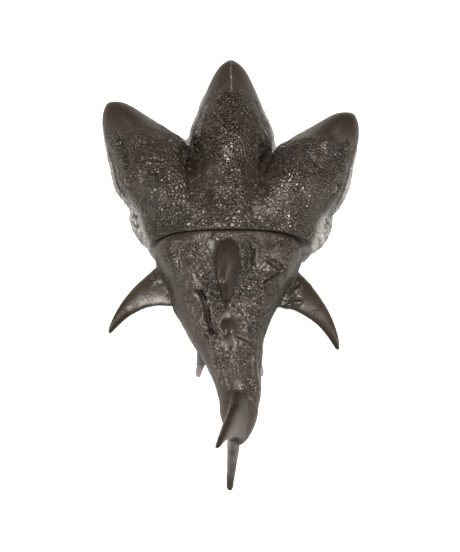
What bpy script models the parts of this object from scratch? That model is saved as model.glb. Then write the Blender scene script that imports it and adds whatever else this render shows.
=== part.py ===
"""Three-headed shark figurine, moulded in two pieces that meet at a seam across the back.

The front moulding carries the three open-mouthed heads and their throats, the rear moulding the
back, the fins and the tail. A rounded plug on the rear moulding fits a socket in the front one.
Metres, +Z up. The snouts point along -Y and the tail along +Y. The origin is on the floor, at the
centre of the flat that the belly rests on.
"""

import math
from collections import namedtuple

import bmesh
import bpy
from mathutils import Matrix, Vector

MM = 0.001

# Body: sizes along Y are measured from the belly flat at the origin.
BODY_HALF_WIDTH = 35.8 * MM
BODY_TOP = 52.5 * MM
BODY_LEVEL = 25.0 * MM
BODY_REAR = 88.0 * MM
TAIL_STOCK_LEVEL = 33.0 * MM
TAIL_SWAY = 3.6 * MM
SHOULDER_HALF_WIDTH = 42.5 * MM
SHOULDER_LENGTH = 30.0 * MM
SHOULDER_LEVEL = 23.0 * MM
FOLD_RADIUS = 1.9 * MM
NAPE_HALF_WIDTH = 16.5 * MM
NAPE_TOP = 54.0 * MM
NAPE_SHIFT = 1.6 * MM
NECK_GROOVE_RADIUS = 2.6 * MM
NECK_GROOVE_SPREAD = 16.6 * MM

# Roots of the three necks, ahead of the origin and out from the middle.
MIDDLE_NECK_FORWARD = 34.0 * MM
LEFT_NECK_FORWARD = 25.0 * MM
LEFT_NECK_SPREAD = 19.5 * MM
RIGHT_NECK_FORWARD = 20.6 * MM
RIGHT_NECK_SPREAD = 17.4 * MM

# Heads: one shape, set three times. Sizes run back from the tip of the snout.
HEAD_LENGTH = 66.0 * MM
HEAD_HALF_WIDTH = 20.3 * MM
SNOUT_HEIGHT = 40.5 * MM
SKULL_RISE = 25.6 * MM
JAW_LINE_HEIGHT = 28.0 * MM
CHIN_SETBACK = 15.0 * MM
CHIN_HEIGHT = 8.0 * MM
THROAT_HALF_WIDTH = 25.6 * MM
LIP_RADIUS = 1.5 * MM
MOUTH_HALF_WIDTH = 13.5 * MM
MOUTH_HALF_LENGTH = 20.0 * MM
MOUTH_HALF_HEIGHT = 15.0 * MM
TONGUE_HALF_WIDTH = 7.0 * MM
EYE_RADIUS = 3.0 * MM
EYE_SETBACK = 40.0 * MM
EYE_HEIGHT = 41.5 * MM
EYE_SPREAD = 13.9 * MM

# Teeth stand in one arched row on each jaw.
TOOTH_LENGTH = 6.2 * MM
TOOTH_HALF_WIDTH = 1.8 * MM
TOOTH_HALF_THICKNESS = 1.1 * MM
TOOTH_ROOT = 2.4 * MM
UPPER_TEETH = 12
LOWER_TEETH = 10

# Fins: chords run back, spans run out from the root.
DORSAL_CHORD = 34.0 * MM
DORSAL_HEIGHT = 33.0 * MM
DORSAL_THICKNESS = 12.5 * MM
DORSAL_LEAN = 2.4 * MM
DORSAL_SETBACK = 6.4 * MM
SECOND_DORSAL_CHORD = 9.0 * MM
SECOND_DORSAL_HEIGHT = 9.0 * MM
SECOND_DORSAL_PLACE = 30.0 * MM
PECTORAL_CHORD = 30.0 * MM
PECTORAL_SPAN = 40.5 * MM
PECTORAL_THICKNESS = 8.5 * MM
PECTORAL_DROOP_DEG = 23.0
PECTORAL_SETBACK = 9.5 * MM
PELVIC_CHORD = 12.5 * MM
PELVIC_SPAN = 15.0 * MM
PELVIC_THICKNESS = 7.5 * MM
PELVIC_PLACE = 27.0 * MM
ANAL_CHORD = 9.0 * MM
ANAL_SPAN = 11.0 * MM
ANAL_PLACE = 54.0 * MM
TAIL_FIN_CHORD = 26.0 * MM
TAIL_FIN_RISE = 38.5 * MM
TAIL_FIN_DROP = 29.0 * MM
TAIL_FIN_THICKNESS = 8.0 * MM
TAIL_FIN_OFFSET = 1.8 * MM
TAIL_FIN_LEAN = 0.335
SMALL_FIN_THICKNESS = 5.0 * MM
FIN_TIP_THICKNESS = 4.0 * MM

# Seam between the two mouldings, and the plug and socket inside it.
SEAM_SETBACK = 8.2 * MM
SEAM_GAP = 0.3 * MM
PLUG_HALF_WIDTH = 17.0 * MM
PLUG_HALF_HEIGHT = 13.0 * MM
PLUG_LENGTH = 11.0 * MM
PLUG_CLEARANCE = 0.3 * MM
PLUG_HEIGHT = 25.0 * MM

# Gill slits behind the outer jaws.
GILL_SLITS = 5
GILL_PITCH = 4.0 * MM
GILL_DEPTH = 1.4 * MM
GILL_HALF_WIDTH = 0.6 * MM
GILL_HALF_LENGTH = 8.5 * MM

# Sculpting: each skin is fused on this grid, eased and thinned to its count of facets.
GRID = 0.8 * MM
EASE_STEPS = 4
FRONT_FACETS = 5150
REAR_FACETS = 3250
RING_POINTS = 28

Station = namedtuple("Station", "along shift half_width level rise drop peak keel")
Pose = namedtuple("Pose", "name pivot_x pivot_y yaw_deg pitch_deg roll_deg length_share")

HEADS = (
    Pose("centre", 0.0, -MIDDLE_NECK_FORWARD, 0.0, 2.5, 0.0, 1.0),
    Pose("left", LEFT_NECK_SPREAD, -LEFT_NECK_FORWARD, 36.0, 0.0, 4.0, 1.0),
    Pose("right", -RIGHT_NECK_SPREAD, -RIGHT_NECK_FORWARD, -38.0, 0.0, -4.0, 0.95),
)


def clear_scene():
    for old in list(bpy.data.objects):
        bpy.data.objects.remove(old, do_unlink=True)


def add_object(name, mesh, helper=False):
    made = bpy.data.objects.new(name, mesh)
    bpy.context.scene.collection.objects.link(made)
    if helper:
        made.hide_render = True
        made.display_type = "WIRE"
    return made


def evaluated_mesh(source, name):
    """A copy of the source's mesh with its modifiers worked in; the source is removed."""
    bpy.context.view_layer.update()
    graph = bpy.context.evaluated_depsgraph_get()
    mesh = bpy.data.meshes.new_from_object(source.evaluated_get(graph))
    mesh.name = name
    bpy.data.objects.remove(source, do_unlink=True)
    return mesh


def combine(target, tool, operation, name):
    step = target.modifiers.new(name, "BOOLEAN")
    step.operation = operation
    step.solver = "EXACT"
    step.object = tool


def mesh_from(bm, name):
    bmesh.ops.recalc_face_normals(bm, faces=bm.faces)
    mesh = bpy.data.meshes.new(name)
    bm.to_mesh(mesh)
    bm.free()
    return mesh


def superellipse(angle, power):
    """Point at an angle on a unit curve that is a diamond at power 1 and an ellipse at 2."""
    c, s = math.cos(angle), math.sin(angle)
    return (
        math.copysign(abs(c) ** (2 / power), c),
        math.copysign(abs(s) ** (2 / power), s),
    )


def skin_through(bm, rings):
    """Closes a skin over rings of equal point counts, from the first to the last."""
    loops = []
    for ring in rings:
        corners = [bm.verts.new(point) for point in ring]
        loops.append([bm.edges.new(pair) for pair in zip(corners, corners[1:] + corners[:1])])
    for near, far in zip(loops, loops[1:]):
        bmesh.ops.bridge_loops(bm, edges=near + far)
    for end in (loops[0], loops[-1]):
        bmesh.ops.contextual_create(bm, geom=end)


def eased(stations, steps):
    """Stations read from a smooth curve through the given ones."""
    out = []
    last = len(stations) - 1
    for i in range(last):
        before, a = stations[max(i - 1, 0)], stations[i]
        b, after = stations[i + 1], stations[min(i + 2, last)]
        for k in range(steps):
            t = k / steps
            out.append(Station(*(
                0.5 * (2 * q + (r - p) * t + (2 * p - 5 * q + 4 * r - s) * t * t
                       + (3 * q - p - 3 * r + s) * t ** 3)
                for p, q, r, s in zip(before, a, b, after)
            )))
    out.append(stations[last])
    return out


def trunk(bm, stations, steps=3):
    """A skin whose rings stand across Y, widest at their level, with their own crown and keel."""
    rings = []
    for st in eased(stations, steps):
        ring = []
        for k in range(RING_POINTS):
            angle = 2 * math.pi * k / RING_POINTS
            upper = math.sin(angle) >= 0
            x, z = superellipse(angle, st.peak if upper else st.keel)
            ring.append((
                st.shift + st.half_width * x,
                st.along,
                st.level + z * (st.rise if upper else st.drop),
            ))
        rings.append(ring)
    skin_through(bm, rings)


def cord(bm, path, radius):
    """A round cord with blunt ends along a path of points."""
    path = [Vector(point) for point in path]
    rings = []
    for i, point in enumerate(path):
        ahead = (path[min(i + 1, len(path) - 1)] - path[max(i - 1, 0)]).normalized()
        side = ahead.cross(Vector((0.0, 0.3, 1.0))).normalized()
        rise = side.cross(ahead)
        reach = radius * (0.55 if i in (0, len(path) - 1) else 1.0)
        turns = [2 * math.pi * k / 8 for k in range(8)]
        rings.append([point + reach * (side * math.cos(a) + rise * math.sin(a)) for a in turns])
    skin_through(bm, rings)


def bezier(points, t):
    a, b, c = (Vector(p) for p in points)
    return a * (1 - t) ** 2 + b * 2 * t * (1 - t) + c * t * t


def blade(bm, leading, trailing, root_thickness, tip_thickness, place, lean=0.0, sections=9):
    """A fin between two curves in its own plane, X back along the chord and Y out along the span.

    place carries that plane to the body; lean is how far the tip stands off the plane.
    """
    rings = []
    for i in range(sections + 1):
        t = i / sections
        front, back = bezier(leading, t), bezier(trailing, t)
        half = 0.5 * (root_thickness + (tip_thickness - root_thickness) * t ** 0.7)
        ring = []
        for k in range(16):
            angle = 2 * math.pi * k / 16
            along = 0.5 - 0.5 * math.cos(angle)
            fullness = math.sin(angle) * (1 + 0.38 * math.cos(angle))
            point = front.lerp(back, along)
            ring.append(place @ Vector((point.x, point.y, half * fullness + lean * t * t)))
        rings.append(ring)
    skin_through(bm, rings)


def plane_at(origin, chord, span):
    """Matrix that carries a fin's chord, span and thickness axes to the body."""
    chord = Vector(chord).normalized()
    span = Vector(span).normalized()
    normal = chord.cross(span).normalized()
    matrix = Matrix((chord, span, normal)).transposed().to_4x4()
    matrix.translation = Vector(origin)
    return matrix


def ellipsoid(bm, centre, radii, turn_deg=0.0):
    place = (
        Matrix.Translation(centre)
        @ Matrix.Rotation(math.radians(turn_deg), 4, "X")
        @ Matrix.Diagonal((*radii, 1.0))
    )
    bmesh.ops.create_uvsphere(bm, u_segments=24, v_segments=14, radius=1.0, matrix=place)


def skull_stations():
    """Upper head and neck: Y runs back from the snout, and the drop stops at the upper gums."""
    shape = (
        (0.010, 0.06, 0.985, 0.06, 0.07, 2.0, 2.0),
        (0.060, 0.28, 0.965, 0.20, 0.15, 1.9, 2.0),
        (0.135, 0.44, 0.935, 0.33, 0.20, 1.7, 2.2),
        (0.225, 0.56, 0.890, 0.46, 0.215, 1.6, 2.4),
        (0.335, 0.70, 0.820, 0.61, 0.20, 1.6, 2.6),
        (0.440, 0.83, 0.750, 0.77, 0.18, 1.8, 2.8),
        (0.545, 0.925, 0.700, 0.91, 0.17, 1.95, 2.8),
        (0.665, 0.925, 0.690, 0.985, 0.38, 2.1, 2.6),
        (0.820, 0.89, 0.690, 1.00, 0.78, 2.2, 2.4),
        (1.000, 0.92, 0.680, 0.99, 0.95, 2.3, 2.3),
        (1.190, 0.92, 0.670, 0.94, 0.90, 2.1, 2.2),
        (1.380, 0.60, 0.670, 0.70, 0.60, 2.0, 2.0),
    )
    return [
        Station(a * HEAD_LENGTH, 0.0, w * HEAD_HALF_WIDTH, z * SNOUT_HEIGHT,
                r * SKULL_RISE, d * SKULL_RISE, p, k)
        for a, w, z, r, d, p, k in shape
    ]


def jaw_stations():
    """Lower jaw and throat: Y runs back from the chin to the shoulders."""
    shape = (
        (0.01, 0.10, 0.00, 1.00, 0.14, 0.16, 2.0, 2.0),
        (0.08, 0.33, 0.00, 1.05, 0.40, 0.42, 2.4, 2.2),
        (0.20, 0.50, 0.00, 1.10, 0.56, 0.62, 2.8, 2.3),
        (0.32, 0.68, 0.00, 1.34, 0.66, 0.92, 3.0, 2.4),
        (0.46, 0.88, 0.00, 1.70, 0.72, 1.34, 3.0, 2.4),
        (0.62, 0.64, 0.39, 2.10, 0.90, 1.90, 2.6, 2.4),
        (0.80, 0.14, 0.885, 2.25, 1.25, 2.28, 2.3, 2.5),
        (0.96, 0.00, 0.89, 2.20, 1.35, 2.26, 2.2, 2.6),
        (1.08, 0.00, 0.66, 2.20, 1.35, 2.26, 2.2, 2.6),
        (1.25, 0.00, 0.36, 2.26, 1.20, 2.20, 2.2, 2.5),
        (1.38, 0.00, 0.34, 2.30, 0.90, 1.60, 2.0, 2.2),
    )
    reach = HEAD_LENGTH - CHIN_SETBACK
    return [
        Station(CHIN_SETBACK + a * reach, 0.0, head * HEAD_HALF_WIDTH + throat * THROAT_HALF_WIDTH,
                z * CHIN_HEIGHT, r * CHIN_HEIGHT, d * CHIN_HEIGHT, p, k)
        for a, head, throat, z, r, d, p, k in shape
    ]


def lip_path(side):
    """Edge of the open mouth on one side, from under the snout round the corner to the chin."""
    upper = ((0.035, 0.12, 0.925), (0.110, 0.36, 0.885), (0.225, 0.56, 0.815), (0.335, 0.73, 0.740),
             (0.440, 0.89, 0.670), (0.545, 0.985, 0.615), (0.640, 0.995, 0.565), (0.690, 0.95, 0.50))
    lower = ((0.640, 0.89, 0.445), (0.560, 0.83, 0.390), (0.475, 0.71, 0.325), (0.380, 0.54, 0.275),
             (0.290, 0.36, 0.245), (0.245, 0.14, 0.225))
    return [
        (side * x * HEAD_HALF_WIDTH, a * HEAD_LENGTH, z * SNOUT_HEIGHT)
        for a, x, z in upper + lower
    ]


def mouth_hollow():
    """Ellipsoid that hollows the palate, the floor of the mouth and the start of the gullet."""
    bm = bmesh.new()
    centre = (0.0, CHIN_SETBACK + 0.95 * MOUTH_HALF_LENGTH, 3.0 * CHIN_HEIGHT)
    ellipsoid(bm, centre, (MOUTH_HALF_WIDTH, MOUTH_HALF_LENGTH, MOUTH_HALF_HEIGHT), 8.0)
    return add_object("mouth_hollow", mesh_from(bm, "mouth_hollow"), helper=True)


def add_eye_ridges(bm):
    """Brow over each eye and cheekbone under it, so that the eye lies in a hollow."""
    for side in (-1, 1):
        brow = (side * (EYE_SPREAD - 0.75 * EYE_RADIUS), EYE_SETBACK - 0.4 * EYE_RADIUS,
                EYE_HEIGHT + 1.15 * EYE_RADIUS)
        ellipsoid(bm, brow, (1.0 * EYE_RADIUS, 3.0 * EYE_RADIUS, 0.8 * EYE_RADIUS), 10.0)
        cheek = (side * (EYE_SPREAD + 0.75 * EYE_RADIUS), EYE_SETBACK + 0.3 * EYE_RADIUS,
                 EYE_HEIGHT - 1.75 * EYE_RADIUS)
        ellipsoid(bm, cheek, (0.8 * EYE_RADIUS, 3.4 * EYE_RADIUS, 0.8 * EYE_RADIUS), -6.0)


def head_mesh():
    """One head in its own frame: the snout's tip over the origin, the neck towards +Y."""
    bm = bmesh.new()
    trunk(bm, skull_stations())
    trunk(bm, jaw_stations())
    add_eye_ridges(bm)
    for side in (-1, 1):
        cord(bm, lip_path(side), LIP_RADIUS)
    head = add_object("head", mesh_from(bm, "head"), helper=True)
    fuse(head, "fuse")
    hollow = mouth_hollow()
    combine(head, hollow, "DIFFERENCE", "carve_mouth")
    mesh = evaluated_mesh(head, "head")
    bpy.data.objects.remove(hollow, do_unlink=True)
    bm = bmesh.new()
    bm.from_mesh(mesh)
    tongue = (0.0, CHIN_SETBACK + 1.05 * MOUTH_HALF_LENGTH, 1.45 * CHIN_HEIGHT)
    ellipsoid(bm, tongue, (TONGUE_HALF_WIDTH, 0.85 * MOUTH_HALF_LENGTH, 0.26 * MOUTH_HALF_HEIGHT), 12.0)
    bm.to_mesh(mesh)
    bm.free()
    return mesh


def head_place(pose):
    """Carries the head's frame to the body: the head turns about the root of its neck."""
    return (
        Matrix.Translation((pose.pivot_x, pose.pivot_y, 0.0))
        @ Matrix.Rotation(math.radians(pose.yaw_deg), 4, "Z")
        @ Matrix.Translation((0.0, 0.0, JAW_LINE_HEIGHT))
        @ Matrix.Rotation(math.radians(pose.roll_deg), 4, "Y")
        @ Matrix.Rotation(math.radians(-pose.pitch_deg), 4, "X")
        @ Matrix.Translation((0.0, -HEAD_LENGTH, -JAW_LINE_HEIGHT))
        @ Matrix.Diagonal((1.0, pose.length_share, 1.0, 1.0))
    )


def nape_stations():
    """Flat-topped back of the middle neck, with steep sides."""
    shape = (
        (-1.88, 0.70, 0.93, 2.4),
        (-1.66, 0.97, 0.975, 2.8),
        (-1.35, 1.00, 1.00, 3.0),
        (-0.95, 1.04, 1.00, 3.0),
        (-0.60, 1.20, 0.99, 2.8),
        (-0.25, 1.45, 0.965, 2.5),
    )
    return [
        Station(a * SHOULDER_LENGTH, NAPE_SHIFT, w * NAPE_HALF_WIDTH, SHOULDER_LEVEL,
                top * NAPE_TOP - SHOULDER_LEVEL, 0.8 * SHOULDER_LEVEL, peak, 2.4)
        for a, w, top, peak in shape
    ]


def neck_grooves():
    """Cords that part the middle neck from the outer ones, shallower towards the seam."""
    path = ((-1.66, 1.08, 0.75), (-1.45, 1.03, 0.85), (-1.20, 1.00, 0.94), (-0.85, 0.97, 0.998),
            (-0.45, 0.96, 1.045))
    bm = bmesh.new()
    for side in (-1, 1):
        points = [
            (NAPE_SHIFT + side * x * NECK_GROOVE_SPREAD, a * SHOULDER_LENGTH, z * NAPE_TOP)
            for a, x, z in path
        ]
        cord(bm, points, NECK_GROOVE_RADIUS)
    return add_object("neck_grooves", mesh_from(bm, "neck_grooves"), helper=True)


def shoulder_stations():
    """Broad saddle that joins the three necks and ends flush with the back at the seam."""
    shape = (
        (-1.62, 0.40, 0.80, 0.82),
        (-1.27, 0.80, 0.88, 0.94),
        (-0.95, 1.00, 0.93, 1.03),
        (-0.65, 1.00, 0.965, 1.06),
        (-0.42, 0.93, 0.99, 1.07),
        (-0.27, 0.875, 1.00, 1.07),
        (0.00, 0.80, 1.00, 1.05),
    )
    return [
        Station(a * SHOULDER_LENGTH, 0.0, w * SHOULDER_HALF_WIDTH, SHOULDER_LEVEL,
                top * BODY_TOP - SHOULDER_LEVEL, drop * SHOULDER_LEVEL, 2.5, 2.6)
        for a, w, top, drop in shape
    ]


def body_stations():
    """Back, belly and tail stock, from the rounded rim at the seam to the tail's root."""
    shape = (
        (-0.112, 0.930, 0.30, 0.985, 0.97, 2.6, 2.5),
        (-0.093, 0.955, 0.30, 0.992, 0.99, 2.6, 2.5),
        (-0.078, 0.978, 0.32, 1.000, 1.01, 2.6, 2.5),
        (-0.055, 0.980, 0.35, 1.002, 1.02, 2.6, 2.5),
        (-0.010, 0.945, 0.35, 1.00, 1.03, 2.5, 2.4),
        (0.063, 0.835, 0.40, 0.985, 1.03, 2.4, 2.4),
        (0.151, 0.735, 0.45, 0.955, 0.96, 2.3, 2.3),
        (0.245, 0.665, 0.72, 0.915, 0.78, 2.2, 2.2),
        (0.335, 0.565, 0.72, 0.88, 0.60, 2.1, 2.1),
        (0.425, 0.475, 0.50, 0.85, 0.49, 2.1, 2.0),
        (0.575, 0.348, -0.30, 0.815, 0.38, 2.1, 2.0),
        (0.712, 0.275, -0.95, 0.79, 0.32, 2.0, 2.0),
        (0.807, 0.247, -1.00, 0.78, 0.30, 2.0, 2.0),
        (0.880, 0.215, -1.02, 0.765, 0.27, 2.0, 2.0),
        (0.955, 0.125, -1.00, 0.72, 0.17, 2.0, 2.0),
        (1.000, 0.035, -0.95, 0.66, 0.05, 2.0, 2.0),
    )
    stations = []
    for a, w, sway, top, drop, peak, keel in shape:
        level = BODY_LEVEL + (TAIL_STOCK_LEVEL - BODY_LEVEL) * min(1.0, max(0.0, a) / 0.8)
        stations.append(Station(a * BODY_REAR, sway * TAIL_SWAY, w * BODY_HALF_WIDTH, level,
                                top * BODY_TOP - level, drop * BODY_LEVEL, peak, keel))
    return stations


def on_back(stations, along, share):
    """Point on the back at a distance along the body and a share of its half width there."""
    for a, b in zip(stations, stations[1:]):
        if a.along <= along <= b.along:
            t = (along - a.along) / (b.along - a.along)
            st = Station(*(p + (q - p) * t for p, q in zip(a, b)))
            height = (1 - abs(share) ** st.peak) ** (1 / st.peak)
            return Vector((st.shift + share * st.half_width, along, st.level + st.rise * height))
    return Vector((0.0, along, BODY_LEVEL))


def add_folds(bm):
    """Long folds of hide on both sides of the back, and the keel that leads into the tail."""
    stations = body_stations()
    left = ((0.02, 0.64), (0.10, 0.60), (0.18, 0.565), (0.28, 0.52), (0.39, 0.47), (0.52, 0.50),
            (0.66, 0.58))
    right = ((0.12, -0.72), (0.20, -0.69), (0.30, -0.70), (0.39, -0.73), (0.49, -0.74), (0.62, -0.74),
             (0.74, -0.74))
    keel = ((0.33, -0.06), (0.42, -0.12), (0.50, -0.14), (0.58, -0.14), (0.66, -0.10))
    for path, radius in ((left, FOLD_RADIUS), (right, FOLD_RADIUS), (keel, 0.85 * FOLD_RADIUS)):
        points = [on_back(stations, a * BODY_REAR, share) for a, share in path]
        cord(bm, [point - Vector((0.0, 0.0, 0.45 * radius)) for point in points], radius)


def add_dorsal_fins(bm):
    place = plane_at((1.2 * MM, -DORSAL_SETBACK, 0.885 * BODY_TOP), (0.02, 1, 0), (0, 0, 1))
    c, h = DORSAL_CHORD, DORSAL_HEIGHT
    blade(bm, ((0, 0), (0.30 * c, 0.66 * h), (0.92 * c, h)),
          ((c, 0), (0.76 * c, 0.42 * h), (1.04 * c, 0.985 * h)),
          DORSAL_THICKNESS, FIN_TIP_THICKNESS, place, lean=DORSAL_LEAN)
    place = plane_at((1.6 * MM, SECOND_DORSAL_PLACE, 0.80 * BODY_TOP), (0, 1, -0.15), (0.1, 0.15, 1))
    c, h = SECOND_DORSAL_CHORD, SECOND_DORSAL_HEIGHT
    blade(bm, ((0, 0), (0.4 * c, 0.9 * h), (1.0 * c, h)), ((c, 0), (0.8 * c, 0.5 * h), (1.3 * c, h)),
          SMALL_FIN_THICKNESS, 0.7 * FIN_TIP_THICKNESS, place, sections=6)


def add_pectoral_fin(bm, side, sweep_deg, chord_share, span_share):
    """Sickle that droops from the flank; sweep turns it back in its own plane."""
    droop, sweep = math.radians(PECTORAL_DROOP_DEG), math.radians(sweep_deg)
    outwards = Vector((side * math.cos(droop), 0.0, -math.sin(droop)))
    rearwards = Vector((0.0, 1.0, 0.0))
    span = outwards * math.cos(sweep) + rearwards * math.sin(sweep)
    chord = rearwards * math.cos(sweep) - outwards * math.sin(sweep)
    setback = PECTORAL_SETBACK * chord_share ** 3
    place = plane_at((side * 0.62 * BODY_HALF_WIDTH, -setback, 0.78 * BODY_LEVEL), chord, span)
    c, h = chord_share * PECTORAL_CHORD, span_share * PECTORAL_SPAN
    blade(bm, ((0, 0), (0.36 * c, 0.80 * h), (1.15 * c, h)),
          ((c, 0), (0.62 * c, 0.50 * h), (1.19 * c, 0.97 * h)),
          PECTORAL_THICKNESS, FIN_TIP_THICKNESS, place, lean=side * 2.0 * MM, sections=11)


def add_lower_fins(bm):
    """Pelvic pair and the fin before the tail, all small and blunt."""
    for side in (-1, 1):
        place = plane_at((side * 0.26 * BODY_HALF_WIDTH + 0.8 * MM, PELVIC_PLACE, 0.6 * BODY_LEVEL),
                         (side * 0.08, 1, -0.05), (side * 0.30, 0.28, -0.88))
        c, h = PELVIC_CHORD, PELVIC_SPAN
        blade(bm, ((0, 0), (0.35 * c, 0.6 * h), (1.05 * c, h)),
              ((c, 0), (0.95 * c, 0.4 * h), (1.4 * c, 0.9 * h)),
              PELVIC_THICKNESS, 0.8 * FIN_TIP_THICKNESS, place, sections=7)
    place = plane_at((-0.5 * TAIL_SWAY, ANAL_PLACE, BODY_LEVEL), (-0.03, 1, 0.1), (0, 0.3, -1))
    c, h = ANAL_CHORD, ANAL_SPAN
    blade(bm, ((0, 0), (0.4 * c, 0.7 * h), (1.1 * c, h)), ((c, 0), (0.9 * c, 0.5 * h), (1.5 * c, h)),
          SMALL_FIN_THICKNESS, 0.8 * FIN_TIP_THICKNESS, place, sections=7)


def add_tail_fin(bm):
    """Two lobes of a crescent, the upper one leaning over towards +X."""
    root = Vector((-1.1 * TAIL_SWAY, 0.70 * BODY_REAR, TAIL_STOCK_LEVEL))
    c = TAIL_FIN_CHORD
    upper = plane_at(root - Vector((TAIL_FIN_OFFSET, 0, 0)), (-0.02, 1, 0), (TAIL_FIN_LEAN, 0, 1))
    h = TAIL_FIN_RISE
    blade(bm, ((-0.10 * c, 0.08 * h), (0.60 * c, 0.52 * h), (1.42 * c, 1.05 * h)),
          ((0.97 * c, 0.0), (0.93 * c, 0.48 * h), (1.47 * c, 1.03 * h)),
          TAIL_FIN_THICKNESS, FIN_TIP_THICKNESS, upper, sections=11)
    lower = plane_at(root, (0.14, 1, 0), (-0.035, 0, -1))
    h = TAIL_FIN_DROP
    blade(bm, ((0.26 * c, 0.0), (0.88 * c, 0.44 * h), (1.54 * c, 0.96 * h)),
          ((1.00 * c, -0.12 * h), (0.98 * c, 0.36 * h), (1.62 * c, 0.92 * h)),
          TAIL_FIN_THICKNESS, FIN_TIP_THICKNESS, lower, sections=10)


def fuse(target, name):
    """Replaces overlapping closed forms by one even skin over all of them."""
    step = target.modifiers.new(name, "REMESH")
    step.mode = "VOXEL"
    step.voxel_size = GRID


def fused(name, mesh, facets, grooves=None):
    """One skin over all of a mesh's closed forms, eased, and thinned to a count of facets."""
    skin = add_object(name, mesh, helper=True)
    fuse(skin, "fuse")
    if grooves:
        combine(skin, grooves, "DIFFERENCE", "carve")
        fuse(skin, "fuse_again")
    ease = skin.modifiers.new("ease", "SMOOTH")
    ease.factor = 0.5
    ease.iterations = EASE_STEPS
    dense = evaluated_mesh(skin, name)
    if grooves:
        bpy.data.objects.remove(grooves, do_unlink=True)
    skin = add_object(name, dense, helper=True)
    thin = skin.modifiers.new("thin", "DECIMATE")
    thin.ratio = min(1.0, facets / (2 * len(dense.polygons)))
    thin.use_collapse_triangulate = True
    return evaluated_mesh(skin, name)


def front_skin():
    bm = bmesh.new()
    head = head_mesh()
    for pose in HEADS:
        copy = head.copy()
        copy.transform(head_place(pose))
        bm.from_mesh(copy)
        bpy.data.meshes.remove(copy)
    bpy.data.meshes.remove(head)
    trunk(bm, shoulder_stations())
    trunk(bm, nape_stations())
    return fused("front_skin", mesh_from(bm, "front_forms"), FRONT_FACETS, neck_grooves())


def rear_skin():
    bm = bmesh.new()
    trunk(bm, body_stations())
    add_folds(bm)
    add_dorsal_fins(bm)
    add_pectoral_fin(bm, 1, 0.0, 1.0, 1.0)
    add_pectoral_fin(bm, -1, 15.0, 0.955, 1.05)
    add_lower_fins(bm)
    add_tail_fin(bm)
    return fused("rear_skin", mesh_from(bm, "rear_forms"), REAR_FACETS)


def cut_by_plane(bm, point, normal):
    """Takes off what lies beyond the plane, and closes the cut with a flat face."""
    geometry = bm.verts[:] + bm.edges[:] + bm.faces[:]
    bmesh.ops.bisect_plane(bm, geom=geometry, dist=1e-7, plane_co=point, plane_no=normal,
                           clear_outer=True)
    rim = [edge for edge in bm.edges if edge.is_boundary]
    bmesh.ops.holes_fill(bm, edges=rim, sides=0)


def moulding(name, skin, side):
    """What a skin leaves before (-1) or behind (+1) the seam, sitting flat on the floor."""
    bm = bmesh.new()
    bm.from_mesh(skin)
    bpy.data.meshes.remove(skin)
    cut_by_plane(bm, Vector(), Vector((0, 0, -1)))
    cut_by_plane(bm, Vector((0, -SEAM_SETBACK + side * 0.5 * SEAM_GAP, 0)), Vector((0, -side, 0)))
    bmesh.ops.triangulate(bm, faces=[face for face in bm.faces if len(face.verts) > 3])
    return add_object(name, mesh_from(bm, name))


def plug_solid(name, grow, extra_length):
    """Rounded plug with draft that stands on the seam; grown by the clearance it cuts the socket."""
    bm = bmesh.new()
    rings = []
    for along, share in ((-4.0 * MM, 1.0), (0.0, 1.0), (0.86 * PLUG_LENGTH, 0.95), (PLUG_LENGTH, 0.86)):
        reach = along if along <= 0 else along + extra_length
        ring = []
        for k in range(24):
            x, z = superellipse(2 * math.pi * k / 24, 3.2)
            ring.append((
                x * (PLUG_HALF_WIDTH * share + grow),
                -SEAM_SETBACK - reach,
                PLUG_HEIGHT + z * (PLUG_HALF_HEIGHT * share + grow),
            ))
        rings.append(ring)
    skin_through(bm, rings)
    return add_object(name, mesh_from(bm, name), helper=True)


def arch_point(turn, centre, forward, half_width):
    """Place on a jaw's arch, in the head's frame; turn is 0 at the front and 90 at the corner."""
    return Vector((half_width * math.sin(turn), centre - forward * math.cos(turn), 0.0))


def gum_height(stations, along, upper):
    """Height of the gum at a distance behind the snout."""
    for a, b in zip(stations, stations[1:]):
        if a.along <= along <= b.along:
            t = (along - a.along) / (b.along - a.along)
            level = a.level + (b.level - a.level) * t
            edge = a.drop + (b.drop - a.drop) * t if upper else a.rise + (b.rise - a.rise) * t
            return level - edge if upper else level + edge
    return stations[0].level


def teeth_row(bm, place, count, upper):
    """Flat pointed teeth along one jaw, longest at the front."""
    stations = skull_stations() if upper else jaw_stations()
    front = (0.235 if upper else 0.29) * HEAD_LENGTH
    centre = 0.60 * HEAD_LENGTH
    half_width = (0.80 if upper else 0.70) * HEAD_HALF_WIDTH
    widest = math.radians(74.0)
    for i in range(count):
        turn = widest * (2 * (i + 0.5) / count - 1)
        foot = arch_point(turn, centre, centre - front, half_width)
        foot.z = gum_height(stations, foot.y, upper)
        size = 1.0 - 0.42 * abs(turn) / widest
        length = TOOTH_LENGTH * size
        down = -1.0 if upper else 1.0
        sink = TOOTH_ROOT * (1.0 if upper else 1.15)
        middle = foot + Vector((0, 0, down * 0.5 * (length - sink)))
        tilt = Matrix.Rotation(math.radians(-10.0 * down), 4, "X")
        shape = (
            place
            @ Matrix.Translation(middle)
            @ Matrix.Rotation(turn, 4, "Z")
            @ tilt
            @ Matrix.Diagonal((TOOTH_HALF_WIDTH, TOOTH_HALF_THICKNESS, down, 1.0))
        )
        bmesh.ops.create_cone(bm, cap_ends=True, segments=5, radius1=0.5 + 0.5 * size,
                              radius2=0.12, depth=length + sink, matrix=shape)


def teeth_solid():
    bm = bmesh.new()
    for pose in HEADS:
        teeth_row(bm, head_place(pose), UPPER_TEETH, upper=True)
        teeth_row(bm, head_place(pose), LOWER_TEETH, upper=False)
    return add_object("teeth", mesh_from(bm, "teeth"), helper=True)


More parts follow.
